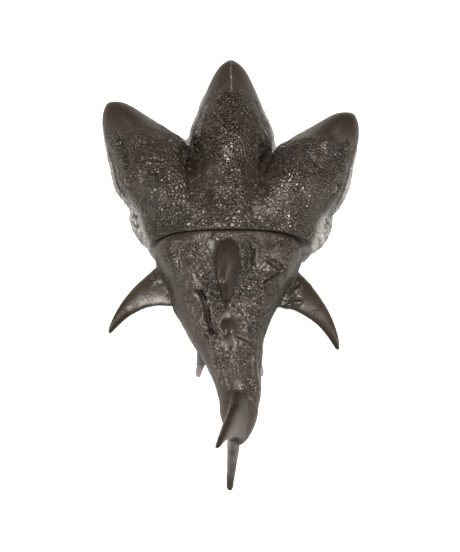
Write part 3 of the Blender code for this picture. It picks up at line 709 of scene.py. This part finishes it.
@dataclass
class Moulding:
    """Visible skin of one moulding, grown from a merged copy of its CAD node."""

    node: str
    name: str
    slot: Slot
    finish: HideFinish
    grid: float = 0.55 * MM
    smoothing: int = 3
    facets: int = 188000
    relief: float = 0.45 * MM
    pebble: float = 2.1 * MM
    overrun: float = 0.0
    fin_root: float = 54.0 * MM
    fin_rounds: int = 10
    strokes: tuple[Stroke, ...] = ()

    def dense_copy(self) -> bpy.types.Mesh:
        """Merge a copy of the CAD node, round it, and lay an even grid over it.

        Returns:
            The dense mesh.
        """
        bm = opened(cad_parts[self.node].data)
        bmesh.ops.remove_doubles(bm, verts=bm.verts, dist=0.001 * MM)
        if self.overrun:
            seam = max(v.co.y for v in bm.verts)
            edge_of_seam = [v for v in bm.verts if v.co.y > seam - 0.01 * MM]
            bmesh.ops.translate(bm, verts=edge_of_seam, vec=(0.0, self.overrun, 0.0))
        crease = bm.edges.layers.float.new("crease_edge")
        for edge in bm.edges:
            if len(edge.link_faces) == 2 and edge.calc_face_angle() > SHARP_ANGLE:
                edge[crease] = SHARPNESS
        mesh = written(bm, bpy.data.meshes.new(self.name))
        skin = new_object(self.name + "_rough", mesh)
        rounder = skin.modifiers.new("round", "SUBSURF")
        rounder.levels = rounder.render_levels = 2
        grid = skin.modifiers.new("grid", "REMESH")
        grid.mode = "VOXEL"
        grid.voxel_size = self.grid
        ease = skin.modifiers.new("ease", "SMOOTH")
        ease.factor = 0.5
        ease.iterations = self.smoothing
        mesh = applied(skin, self.name)
        bm = opened(mesh)
        fin = [v for v in bm.verts if v.co.z > self.fin_root]
        for _ in range(self.fin_rounds if fin else 0):
            relax(bm, fin)
        return written(bm, mesh)

    @staticmethod
    def trim(mesh: bpy.types.Mesh, seam: float) -> None:
        """Cut off what was grown past the seam, and close the cut with a flat, sharp-edged face.

        Args:
            mesh: The skin; it is changed.
            seam: Place of the cut along Y.
        """
        bm = opened(mesh)
        bmesh.ops.bisect_plane(bm, geom=bm.verts[:] + bm.edges[:] + bm.faces[:], dist=1e-7,
                               plane_co=(0.0, seam, 0.0), plane_no=(0.0, 1.0, 0.0), clear_outer=True)
        rim = [edge for edge in bm.edges if edge.is_boundary]
        made = bmesh.ops.triangle_fill(bm, edges=rim, use_beauty=True, normal=(0.0, 1.0, 0.0))["geom"]
        for item in rim + [item for item in made if isinstance(item, bmesh.types.BMFace)]:
            item.smooth = False
        written(bm, mesh)

    def grain(self, places: np.ndarray) -> np.ndarray:
        """How much hide texture each place carries, from 0 to 1."""
        raise NotImplementedError

    def pale_and_painted_light(self, places: np.ndarray, normals: np.ndarray) -> np.ndarray:
        """How pale each place is painted, from 0 to 1: countershading paint, in places also a painted
        reflection.
        """
        raise NotImplementedError

    def mouth(self, places: np.ndarray) -> np.ndarray:
        """How red the paint is at each place, from 0 to 1."""
        return np.zeros(len(places))

    def carve(self, carver: Carver) -> None:
        """Carve what is this moulding's own, beyond its strokes."""

    def build(self, groups: dict[str, bpy.types.NodeTree]) -> bpy.types.Object:
        """Grow, carve, dress and place the skin.

        Args:
            groups: The shared shader groups by name.

        Returns:
            The finished object.
        """
        mesh = self.dense_copy()
        carver = Carver(mesh)
        log.info("%s: %d points before carving", self.name, len(carver.places))
        for stroke in self.strokes:
            carver.stroke(stroke)
        self.carve(carver)
        carver.apply()
        amount = self.grain(carver.places)
        heights, depths = hide_noise(carver.places, amount, self.pebble)
        carver.lift += self.relief * heights
        carver.apply()
        places = carver.places
        low, high = np.array(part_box(self.node))
        high[1] += self.overrun
        mesh.vertices.foreach_set("co", np.clip(places, low, high).ravel())
        pale = self.pale_and_painted_light(places, carver.normals)
        # Painted shade along the top of the seam between the mouldings, which also hides the highlight on its
        # rounded edge.
        seam = 1.0 - ease_mm(0.2, 0.7, np.abs(places[:, 1] - SEAM_Y))
        seam *= ease_mm(26.0, 40.0, places[:, 2])
        put_attribute(mesh, "grain", amount)
        # Painted shade: the hollows of the strokes, the creases of the hide and the seam.
        put_attribute(mesh, "furrow", np.maximum.reduce((carver.furrow, 0.45 * depths, seam)))
        # Pale paint, painted reflection on the throats, and painted highlights on the tops of strokes.
        put_attribute(mesh, "pale_and_painted_light", np.maximum(pale, np.clip(carver.wear_and_highlight, 0.0, 1.0)))
        put_attribute(mesh, "mouth", self.mouth(places))
        skin = new_object(self.name, mesh)
        if len(mesh.polygons) * 2 > self.facets:
            thin = skin.modifiers.new("thin", "DECIMATE")
            thin.ratio = self.facets / (2 * len(mesh.polygons))
            skin = new_object(self.name, applied(skin, self.name))
        smooth_shaded(skin.data)
        if self.overrun:
            self.trim(skin.data, high[1] - self.overrun)
        skin.data.materials.clear()
        skin.data.materials.append(self.finish.material(groups))
        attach(skin, BODY)
        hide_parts(self.node)
        log.info("%s: %d faces", self.name, len(skin.data.polygons))
        return skin


@dataclass
class FrontMoulding(Moulding):
    """Three heads, their throats and the shoulders."""

    mouth_half: Sizes = (13.5 * MM, 20.0 * MM, 15.0 * MM)

    def grain(self, places: np.ndarray) -> np.ndarray:
        """Hide everywhere but on the snouts, in the mouths and at the seam."""
        amount = ease_mm(-0.5, 1.0, SEAM_Y - places[:, 1])
        for head in HEADS:
            own = head.own(places)
            near = np.abs(own[:, 0]) < 1.3 * head.half_width
            outwards = ease_mm(2.0, 9.0, head.outer * own[:, 0])
            reach = own[:, 1] / head.length + 0.22 * outwards - (0.10 if head.outer else 0.0)
            ragged = np.zeros(len(places))
            for i in np.flatnonzero(near & (np.abs(reach - 0.32) < 0.22)):
                ragged[i] = noise.noise(Vector(own[i]) / (5.5 * MM))
            bald = 1.0 - smoothstep(0.20, 0.42, reach + 0.14 * ragged)
            upper = smoothstep(0.55 * head.jaw_line, 0.8 * head.jaw_line, own[:, 2])
            snout = near & (own[:, 1] < 0.6 * head.length)
            amount = np.where(snout, amount * (1.0 - 0.92 * bald * upper), amount)
        return amount * (1.0 - self.mouth(places))

    def mouth(self, places: np.ndarray) -> np.ndarray:
        """Inside of the three mouths."""
        red = np.zeros(len(places))
        for head in HEADS:
            centre = np.array((0.0, head.chin_setback + 0.95 * self.mouth_half[1], 3.0 * head.chin_height))
            reach = np.linalg.norm((head.own(places) - centre) / np.array(self.mouth_half), axis=1)
            red = np.maximum(red, 1.0 - smoothstep(1.03, 1.12, reach))
        return red

    def pale_and_painted_light(self, places: np.ndarray, normals: np.ndarray) -> np.ndarray:
        """Pale jaws and throats, with a band that climbs the outer flanks, and pale lips; the band on the
        outward-facing flanks is partly pale paint and partly a painted reflection of the white surroundings.
        """
        low = 1.0 - ease_mm(10.0, 30.0, places[:, 2])
        pale = np.maximum(0.9 * low, smoothstep(0.3, 0.9, -normals[:, 2]))
        for head in HEADS:
            if head.outer:
                own = head.own(places)
                along = own[:, 1] / head.length
                outwards = np.array(head.place().to_3x3() @ Vector((head.outer, 0.0, 0.0)))
                facing = smoothstep(0.05, 0.95, normals @ outwards)
                outer = ease_mm(10.0, 19.0, head.outer * own[:, 0])
                throat = smoothstep(0.40, 0.80, along) * (1.0 - smoothstep(1.45, 1.6, along))
                side = 1.0 - ease_mm(22.0, 46.0, own[:, 2])
                pale = np.maximum(pale, outer * throat * facing * side)
        return np.clip(np.maximum(pale, 0.75 * self.lips(places)), 0.0, 1.0)

    def lips(self, places: np.ndarray) -> np.ndarray:
        """How near each place is to the rim of an open mouth, from 0 to 1."""
        near = np.zeros(len(places))
        rims = [np.array(spline([Vector((side * x * MM, y * MM, z * MM)) for x, y, z in UPPER_LIP], 1.0 * MM))
                for side in (-1, 1)]
        for head in HEADS:
            own = head.own(places)
            index = np.flatnonzero((np.abs(own[:, 0]) < 24.0 * MM) & (own[:, 1] < 50.0 * MM))
            for rim in rims:
                apart = np.linalg.norm(own[index][:, None, :] - rim[None, :, :], axis=2).min(axis=1)
                near[index] = np.maximum(near[index], 1.0 - ease_mm(1.9, 3.6, apart))
        return near

    def carve(self, carver: Carver) -> None:
        """Carve the eyelids, the gill slits and the hatching of the throats."""
        lid = Stroke("eyelid", RIDGE, (), 0.9, 0.75, 0.0)
        slit = Stroke("gill_slit", FURROW, (), 0.8, 1.1, 0.2, 1.0)
        turns = np.linspace(0.0, 2.0 * math.pi, 25)
        drop = np.linspace(-8.0 * MM, 8.0 * MM, 14)
        for head in HEADS:
            across = np.full(25, head.eye_spread + 0.6 * head.eye_radius)
            along = head.eye_setback + 1.35 * head.eye_radius * np.cos(turns)
            height = head.eye_height + 1.05 * head.eye_radius * np.sin(turns)
            for side in (-1, 1):
                carver.trace(head.shared(np.stack((side * across, along, height), axis=1)), lid)
            if head.outer:
                across, height = np.full(14, head.outer * 30.0 * MM), 0.62 * head.jaw_line + drop
                for number in range(GILL_SLITS):
                    along = 0.74 * head.length + number * 4.0 * MM - 0.25 * drop
                    carver.trace(head.shared(np.stack((across, along, height), axis=1)), slit)
                self.hatch(head, carver)

    @staticmethod
    def hatch(head: Head, carver: Carver) -> None:
        """Carve two families of crossing furrows on a head's outer throat.

        Args:
            head: The head.
            carver: The skin's carver.
        """
        own = head.own(carver.places)
        along = own[:, 1] / head.length
        outer = ease_mm(9.0, 16.0, head.outer * own[:, 0])
        behind = smoothstep(0.62, 0.78, along) * (1.0 - smoothstep(1.32, 1.45, along))
        mask = outer * behind * (1.0 - ease_mm(34.0, 44.0, own[:, 2]))
        for i in np.flatnonzero(mask > 0.03):
            x, y, z = own[i]
            warp = noise.noise(Vector((y, z, x)) / (7.0 * MM)) * 1.6 * MM
            down_lines = abs(math.sin(math.pi * (y + 0.35 * z + warp) / (3.9 * MM)))
            cross_lines = abs(math.sin(math.pi * (z - 0.30 * y - 1.4 * warp) / (2.8 * MM)))
            cut = max((1.0 - down_lines) ** 5, 0.6 * (1.0 - cross_lines) ** 5)
            carver.lift[i] += MM * (0.20 + 0.35 * down_lines - 0.75 * cut) * mask[i]
            # Painted shade in the cuts.
            carver.furrow[i] = max(carver.furrow[i], 0.75 * cut * mask[i])


@dataclass
class RearMoulding(Moulding):
    """Back, fins and tail."""

    def grain(self, places: np.ndarray) -> np.ndarray:
        """Hide on the back and flanks, fading onto the fins, the tail and the rim at the seam."""
        aside, along, height = np.abs(places[:, 0]), places[:, 1], places[:, 2]
        rim = ease_mm(0.0, 4.0, along - SEAM_Y)
        x, y = SECOND_DORSAL
        off_centre = np.hypot((places[:, 0] - x) / (4.0 * MM), (along - y) / (9.0 * MM))
        second_dorsal = smoothstep(0.75, 1.25, off_centre)
        tail = 1.0 - 0.50 * ease_mm(35.0, 70.0, along) - 0.38 * ease_mm(68.0, 90.0, along)
        dorsal = 1.0 - 0.9 * ease_mm(54.0, 57.0, height)
        span = ease_mm(26.0, 32.0, aside) * ease_mm(2.0, 8.0, along)
        pectoral = 1.0 - 0.85 * np.maximum(span, ease_mm(35.0, 39.0, aside))
        patchy = np.array([noise.noise(Vector(row) / (10.0 * MM)) for row in places])
        spared = rim * (1.0 - 0.95 * (1.0 - second_dorsal))
        return spared * tail * dorsal * pectoral * (0.36 + 0.64 * smoothstep(-0.20, 0.30, patchy))

    def pale_and_painted_light(self, places: np.ndarray, normals: np.ndarray) -> np.ndarray:
        """Pale belly and a pale root of the tail's lower lobe, which darkens to its tip."""
        along, height = places[:, 1], places[:, 2]
        down = smoothstep(0.35, 0.95, -normals[:, 2])
        low = 1.0 - ease_mm(5.0, 15.0, height)
        body = 1.0 - ease_mm(28.0, 34.0, np.abs(places[:, 0])) * ease_mm(0.0, 8.0, along)
        pale = np.clip(np.maximum(0.6 * low * body, 0.9 * down), 0.0, 1.0)
        lobe = ease_mm(84.0, 88.0, along) * (1.0 - ease_mm(20.0, 30.0, height))
        return np.clip(np.where(lobe > 0.0, 0.30 * lobe * ease_mm(0.0, 14.0, height), pale), 0.0, 1.0)


@dataclass(frozen=True)
class Jaw:
    """One jaw's arch in the head's frame, with the height of its gum along the head."""

    name: str
    down: float
    count: int
    front: float
    half_width: float
    root: float
    gum: Path
    centre: float = 39.6 * MM
    widest: float = 74.0

    def turn(self, share: float) -> float:
        """Angle round the arch, in radians, for a share from -1 to 1."""
        return math.radians(self.widest) * share

    def foot(self, turn: float) -> Vector:
        """Place of the gum's edge at an angle round the arch."""
        along = self.centre - (self.centre - self.front) * math.cos(turn)
        height = float(np.interp(along / MM, [a for a, _ in self.gum], [h for _, h in self.gum])) * MM
        return Vector((self.half_width * math.sin(turn), along, height))


UPPER_JAW = Jaw("upper", -1.0, 12, 15.5 * MM, 16.2 * MM, 2.4 * MM,
                ((15.5, 30.7), (22.0, 28.1), (29.0, 25.8), (36.0, 24.0)))
LOWER_JAW = Jaw("lower", 1.0, 10, 19.1 * MM, 14.2 * MM, 2.8 * MM,
                ((19.1, 11.6), (25.2, 13.3), (31.3, 16.0), (38.5, 19.4)))


@dataclass
class MouthParts:
    """Teeth, gums, tongue and eyes of one head."""

    head: Head
    enamel: bpy.types.Material
    flesh: bpy.types.Material
    eye: bpy.types.Material
    tooth_length: float = 6.4 * MM
    tooth_half_width: float = 2.0 * MM
    tooth_half_thickness: float = 1.3 * MM
    gum_radius: float = 1.7 * MM

    def dress(self, name: str, bm: bmesh.types.BMesh, finish: bpy.types.Material) -> bpy.types.Object:
        """Make a piece of a bmesh in the head's frame, put it in place and give it its finish.

        Args:
            name: Last part of the piece's name.
            bm: The piece in the head's frame; it is freed.
            finish: The piece's material.

        Returns:
            The finished object.
        """
        bm.transform(self.head.place())
        bmesh.ops.recalc_face_normals(bm, faces=bm.faces)
        mesh = written(bm, bpy.data.meshes.new(f"{self.head.name}_{name}"))
        piece = new_object(mesh.name, smooth_shaded(mesh))
        piece.data.materials.append(finish)
        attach(piece, BODY)
        return piece

    def teeth(self, jaw: Jaw) -> bpy.types.Object:
        """Flat, pointed, slightly hooked teeth along one jaw, longest at the front.

        Args:
            jaw: The jaw that carries them.

        Returns:
            The row as one piece.
        """
        bm = bmesh.new()
        root = bm.verts.layers.float.new("root")
        for number in range(jaw.count):
            turn = jaw.turn(2 * (number + 0.5) / jaw.count - 1)
            size = 1.0 - 0.42 * abs(turn) / math.radians(jaw.widest)
            length = self.tooth_length * size + jaw.root
            start = len(bm.verts)
            made = bmesh.ops.create_cone(bm, cap_ends=True, segments=12, radius1=0.55 + 0.5 * size,
                                         radius2=0.10, depth=1.0)
            uprights = {edge for v in made["verts"] for edge in v.link_edges
                        if abs(edge.verts[0].co.z - edge.verts[1].co.z) > 0.5}
            bmesh.ops.subdivide_edges(bm, edges=list(uprights), cuts=4, use_grid_fill=True)
            bm.verts.ensure_lookup_table()
            corners = bm.verts[start:]
            for v in corners:
                rise = v.co.z + 0.5
                # How much darker the tooth's paint is towards its root.
                v[root] = max(0.0, 0.75 - 1.6 * rise)
                v.co.x *= 1.0 + 0.22 * math.sin(math.pi * rise)
                v.co.y += 0.45 * rise * rise
            foot = jaw.foot(turn)
            place = (
                Matrix.Translation(foot + Vector((0, 0, jaw.down * 0.5 * (length - 2 * jaw.root))))
                @ Matrix.Rotation(turn, 4, "Z")
                @ turned(-10.0 * jaw.down, "X")
                @ Matrix.Diagonal((self.tooth_half_width, self.tooth_half_thickness, jaw.down * length, 1.0))
            )
            bmesh.ops.transform(bm, matrix=place, verts=corners)
        return self.dress(f"{jaw.name}_teeth", bm, self.enamel)

    def gum(self, jaw: Jaw) -> bpy.types.Object:
        """Scalloped gum along one jaw, swollen between the teeth.

        Args:
            jaw: The jaw that carries it.

        Returns:
            The gum as one piece.
        """
        bm = bmesh.new()
        loops = []
        steps = 8 * jaw.count
        for step in range(steps + 1):
            share = 2 * step / steps - 1
            turn = jaw.turn(1.06 * share)
            swell = 1.0 + 0.16 * math.cos(2 * math.pi * jaw.count * 0.5 * (1.06 * share + 1))
            taper = max(0.25, min(1.0, 9.0 * (1.0 - abs(share))))
            ring = bmesh.ops.create_circle(bm, segments=12, radius=self.gum_radius * swell * taper)["verts"]
            foot = jaw.foot(turn) - Vector((0, 0, jaw.down * 0.45 * self.gum_radius))
            place = (Matrix.Translation(foot) @ Matrix.Rotation(turn, 4, "Z")
                     @ turned(90.0, "Y") @ Matrix.Diagonal((0.95, 1.15, 1.0, 1.0)))
            bmesh.ops.transform(bm, matrix=place, verts=ring)
            loops.append(list({edge for v in ring for edge in v.link_edges}))
        for near, far in zip(loops, loops[1:]):
            bmesh.ops.bridge_loops(bm, edges=near + far)
        for end in (loops[0], loops[-1]):
            bmesh.ops.contextual_create(bm, geom=end)
        return self.dress(f"{jaw.name}_gum", bm, self.flesh)

    def tongue(self) -> bpy.types.Object:
        """Broad flat tongue with a groove down its middle and a slightly raised tip."""
        bm = bmesh.new()
        bmesh.ops.create_uvsphere(bm, u_segments=40, v_segments=24, radius=1.0)
        for v in bm.verts:
            x, y, z = v.co
            v.co.z += 0.30 * (-y) ** 3 * (1 if y < 0 else 0)
            v.co.z -= 0.42 * math.exp(-((x / 0.16) ** 2)) * max(0.0, z)
            v.co.z += 0.10 * noise.noise(Vector((4 * x, 4 * y, 2 * z)))
        relax(bm, bm.verts[:])
        bm.transform(
            Matrix.Translation((0.0, self.head.chin_setback + 21.0 * MM, 11.9 * MM))
            @ turned(12.0, "X")
            @ Matrix.Diagonal((7.4 * MM, 17.6 * MM, 4.3 * MM, 1.0))
        )
        return self.dress("tongue", bm, self.flesh)

    def eyes(self) -> bpy.types.Object:
        """Both glossy eyes, with the turn from each eye's axis kept for the painted iris."""
        bm = bmesh.new()
        turn = bm.verts.layers.float.new("from_axis")
        for side in (-1, 1):
            made = bmesh.ops.create_uvsphere(bm, u_segments=32, v_segments=20,
                                             radius=self.head.eye_radius)["verts"]
            for v in made:
                v[turn] = v.co.normalized().angle(Vector((0, 0, 1))) / math.radians(90.0)
            place = (
                Matrix.Translation((side * self.head.eye_spread, self.head.eye_setback, self.head.eye_height))
                @ turned(side * 78.0, "Y")
            )
            bmesh.ops.transform(bm, matrix=place, verts=made)
        return self.dress("eyes", bm, self.eye)

    def build(self) -> None:
        """Make all the parts of this head."""
        for jaw in (UPPER_JAW, LOWER_JAW):
            self.teeth(jaw)
            self.gum(jaw)
        self.tongue()
        self.eyes()
        log.info("%s head: teeth, gums, tongue and eyes", self.head.name)


@dataclass(frozen=True)
class Studio:
    """White floor, a small softbox on either side behind the tail, a larger one overhead, a camera."""

    aim: Vector = field(default_factory=lambda: Vector((0.5 * MM, 5.7 * MM, 27.9 * MM)))
    distance: float = 0.8
    elevation: float = 70.0
    lens: float = 112.2
    sky: float = 0.10
    floor_glow: float = 0.95
    warmth: Colour = (1.0, 0.94, 0.87)

    def camera(self) -> bpy.types.Object:
        """Place the camera at the photograph's angle and make it the scene's."""
        data = bpy.data.cameras.new("camera")
        data.lens = self.lens
        data.sensor_width = 36.0
        angle = math.radians(self.elevation)
        away = Vector((0.0, math.cos(angle), math.sin(angle)))
        made = new_object("camera", data)
        made.location = self.aim + away * self.distance
        made.rotation_euler = (-away).to_track_quat("-Z", "Y").to_euler()
        bpy.context.scene.camera = made
        return made

    def softbox(self, name: str, place: Vector, size: tuple[float, float], power: float) -> bpy.types.Object:
        """Place a rectangular light that faces the figurine.

        Args:
            name: Name of the light.
            place: Where its centre is.
            size: Its width and height in metres.
            power: Its power in watts.

        Returns:
            The light.
        """
        data = bpy.data.lights.new(name, "AREA")
        data.shape = "RECTANGLE"
        data.size, data.size_y = size
        data.energy = power
        made = new_object(name, data)
        made.location = place
        data.color = self.warmth
        made.rotation_euler = (self.aim - place).to_track_quat("-Z", "Y").to_euler()
        return made

    def world(self) -> None:
        """Surround the scene with plain white."""
        made = bpy.data.worlds.new("surround")
        made.use_nodes = True
        background = made.node_tree.nodes["Background"]
        Nodes(made.node_tree).feed(background, {"Color": (1.0, 1.0, 1.0), "Strength": self.sky})
        bpy.context.scene.world = made

    def floor(self) -> bpy.types.Object:
        """Lay a plain pale floor under the figurine; the camera alone sees it glow."""
        bm = bmesh.new()
        bmesh.ops.create_grid(bm, x_segments=2, y_segments=2, size=3.0)
        made = new_object("floor", written(bm, bpy.data.meshes.new("floor")))
        made.location.z = -0.2 * MM
        material, nodes, shader = new_material("floor_paper")
        seen = nodes.add("ShaderNodeLightPath").outputs["Is Camera Ray"]
        nodes.feed(shader, {
            "Base Color": (0.55, 0.55, 0.55),
            "Roughness": 0.9,
            "Emission Color": (1.0, 1.0, 1.0),
            "Emission Strength": nodes.times(seen, self.floor_glow),
        })
        made.data.materials.append(material)
        return made

    def build(self) -> None:
        """Set up the whole studio."""
        bpy.context.scene.view_settings.view_transform = "Standard"
        self.world()
        self.floor()
        for name, side in (("left", 1), ("right", -1)):
            self.softbox(f"softbox_{name}", Vector((side * 0.60, 0.30, 0.42)), (0.20, 0.16), 6.0)
        self.softbox("softbox_top", Vector((0.0, -0.18, 0.92)), (0.36, 0.36), 10.5)
        self.camera()


# Each furrow and fold gets painted shade in its hollow; the ridge down the middle snout gets a painted
# highlight on its top.
FRONT_STROKES = (
    Stroke("mould_ridge", RIDGE, ((0, -98), (0, -88), (0, -77)), 0.6, 0.6, 0.10, 0.0, 0.55),
    Stroke("centre_line", RIDGE, ((0, -76), (0.3, -57), (0.5, -38)), 0.9, 0.22),
    Stroke("centre_brow_left", RIDGE, ((14, -57), (14, -55)), 2.6, 1.6, 0.0),
    Stroke("centre_brow_right", RIDGE, ((-13.5, -56.5), (-13.5, -54.5)), 2.6, 1.6, 0.0),
    Stroke("centre_pit_left", FURROW, ((15, -53), (14, -44), (13, -37.5)), 2.4, 1.3),
    Stroke("centre_pit_right", FURROW, ((-14.5, -54.5), (-14, -48), (-14.5, -38)), 2.8, 1.5),
    Stroke("left_outer_brow", RIDGE, ((42, -60.5), (45, -51), (46.5, -43.5), (47.5, -38)), 2.4, 1.5, 0.45),
    Stroke("left_outer_valley", FURROW, ((51, -55.5), (49.5, -48.5), (48, -39.5)), 2.2, 1.3),
    Stroke("left_inner_brow", RIDGE, ((34, -67), (26, -54.5), (22, -48.5)), 2.2, 1.2),
    Stroke("left_inner_wedge", FURROW, ((24, -51.5), (22, -43.5), (20, -39.5)), 2.0, 1.1),
    Stroke("left_wrinkle_a", FOLD, ((41.5, -42.5), (36.5, -42.5), (31.5, -40)), 1.2, 0.8),
    Stroke("left_wrinkle_b", FOLD, ((37, -37.5), (34.5, -32.5), (35, -28.5)), 1.2, 0.8),
    Stroke("right_outer_brow", RIDGE, ((-42.5, -59), (-45, -51), (-46, -44.5)), 2.4, 1.4, 0.45),
    # Wide shallow furrow: painted shade on the right head's outer top, with little relief.
    Stroke("right_outer_painted_shade", FURROW, ((-47, -62), (-50, -52), (-51, -42), (-50, -36)),
           3.4, 0.3, 0.3, 0.75),
    Stroke("right_socket", FURROW, ((-47, -53), (-48.5, -48), (-48, -43)), 2.2, 1.3),
    Stroke("right_wrinkle_a", FURROW, ((-35, -46), (-39, -41), (-44, -35.5)), 0.8, 0.8),
    Stroke("right_wrinkle_b", FURROW, ((-42, -47.5), (-38.5, -40), (-33.5, -33.5)), 0.8, 0.8),
    Stroke("right_wrinkle_c", FURROW, ((-32, -39.5), (-37.5, -36.5), (-45, -39.5)), 0.8, 0.7),
    Stroke("nape_swell_left", RIDGE, ((6.5, -31), (6, -20), (5, -12)), 4.2, 0.9),
    Stroke("nape_swell_right", RIDGE, ((-6.5, -31), (-5.5, -22), (-5, -13.5)), 4.2, 0.9),
)

# Each furrow and fold gets painted shade in its hollow; the rear left fold, the right creases and their edge,
# the left fold's edge and the cross folds also get a painted highlight on their tops.
REAR_STROKES = (
    Stroke("dorsal_groove_right", FURROW, ((-5, -4), (-8.5, 1.5), (-8, 9), (-6, 17)), 1.9, 1.4),
    Stroke("dorsal_rim_right", RIDGE, ((-11, -3), (-11.5, 2.5), (-10.5, 9)), 1.6, 0.8),
    Stroke("left_fold", FOLD, ((15.5, 18.5), (12, 26), (10, 36.5), (9, 41.5)), 1.7, 2.4, 0.12),
    Stroke("left_fold_rear", FOLD, ((10, 38), (8.5, 43), (7, 48.5), (3.5, 61.5)),
           1.6, 1.2, 0.22, 0.35),
    Stroke("left_cross", FURROW, ((21, 21.5), (17.5, 23.5), (14, 24)), 0.9, 0.8),
    Stroke("right_crease_a", FOLD, ((-15.5, 4), (-20.5, 6), (-26, 7.5)), 1.1, 1.5, 0.10, 0.6),
    Stroke("right_crease_b", FOLD, ((-13.5, 17), (-18.5, 12.5), (-23, 7.5), (-26.5, 2)),
           1.1, 1.5, 0.10, 0.6),
    Stroke("right_crease_edge", RIDGE, ((-12.5, 16), (-17.5, 11.5), (-22, 6.5), (-25.5, 1)),
           0.6, 0.7, 0.12, 0.0, 0.30),
    Stroke("left_fold_edge", RIDGE, ((17, 18.5), (13.5, 26), (11.5, 36.5), (10.5, 41.5)),
           0.7, 0.9, 0.12, 0.0, 0.42),
    Stroke("right_pit", FURROW, ((-17, -4.5), (-21, -1.5)), 3.0, 1.5),
    Stroke("right_wrinkle_a", FURROW, ((-11, 18.5), (-16, 20), (-19.5, 20)), 1.0, 1.1),
    Stroke("right_wrinkle_b", FURROW, ((-11.5, 23), (-15, 24), (-18, 25)), 1.0, 1.1),
    Stroke("right_wrinkle_c", FURROW, ((-12, 27.5), (-14.5, 28), (-17, 29.5)), 1.0, 1.1),
    Stroke("right_wrinkle_d", FURROW, ((-14.5, 31.5), (-11, 35), (-7, 36.5)), 1.0, 1.1),
    Stroke("cross_fold_left", FOLD, ((11, 37.5), (8, 38.5), (5.5, 39.5)), 1.3, 1.2, 0.22, 0.45),
    Stroke("cross_fold_right", FOLD, ((-2.5, 41), (-5, 41.5), (-8, 42.5)), 1.3, 1.2, 0.22, 0.45),
    Stroke("keel_ridge", RIDGE, ((0, 44), (-2, 52), (-3.5, 60.5)), 1.6, 0.7),
    Stroke("right_lateral", RIDGE, ((-10, 47), (-11, 57), (-12, 65)), 1.6, 0.7),
    Stroke("pectoral_fold_a", FOLD, ((-26, 13), (-30.5, 8.5), (-32.5, 6)), 1.4, 1.1),
    Stroke("pectoral_fold_b", FOLD, ((-24.5, 17), (-27.5, 15.5), (-34, 13.5)), 1.4, 1.1),
)


def main() -> None:
    """Build the studio, both mouldings and the small parts, and report each."""
    logging.basicConfig(level=logging.INFO, format="%(name)s: %(message)s")
    noise.seed_set(NOISE_SEED)
    groups = {"pebbles": pebble_group(), "wash": colour_and_painted_light_group()}
    Studio().build()
    FrontMoulding(
        "three_heads", "front_skin", Slot.FRONT,
        HideFinish("front_hide", top=(0.025, 0.018, 0.0125), pale=(0.42, 0.415, 0.415),
                   wash=(0.003, 0.002, 0.0015), painted_highlight=(0.060, 0.048, 0.036),
                   roughness=0.28, wrinkles=580.0, emboss=0.90 * MM),
        overrun=2.0 * MM,
        strokes=FRONT_STROKES,
    ).build(groups)
    RearMoulding(
        "body_and_tail", "rear_skin", Slot.REAR,
        HideFinish("rear_hide", top=(0.024, 0.0175, 0.012), pale=(0.40, 0.39, 0.385),
                   wash=(0.003, 0.002, 0.0015), painted_highlight=(0.055, 0.044, 0.033),
                   roughness=0.25, wrinkles=680.0, emboss=0.42 * MM),
        smoothing=8,
        relief=0.72 * MM,
        strokes=REAR_STROKES,
    ).build(groups)
    enamel = PaintFinish("tooth_paint", (0.72, 0.67, 0.55), (0.42, 0.30, 0.17), 0.30, 3000.0).material()
    flesh = PaintFinish("flesh_paint", (0.40, 0.075, 0.06), (0.20, 0.025, 0.022), 0.34, 1800.0, 0.2).material()
    eye = EyeFinish("eye_paint").material()
    for head in HEADS:
        MouthParts(head, enamel, flesh, eye).build()


if __name__ == "__main__":
    main()
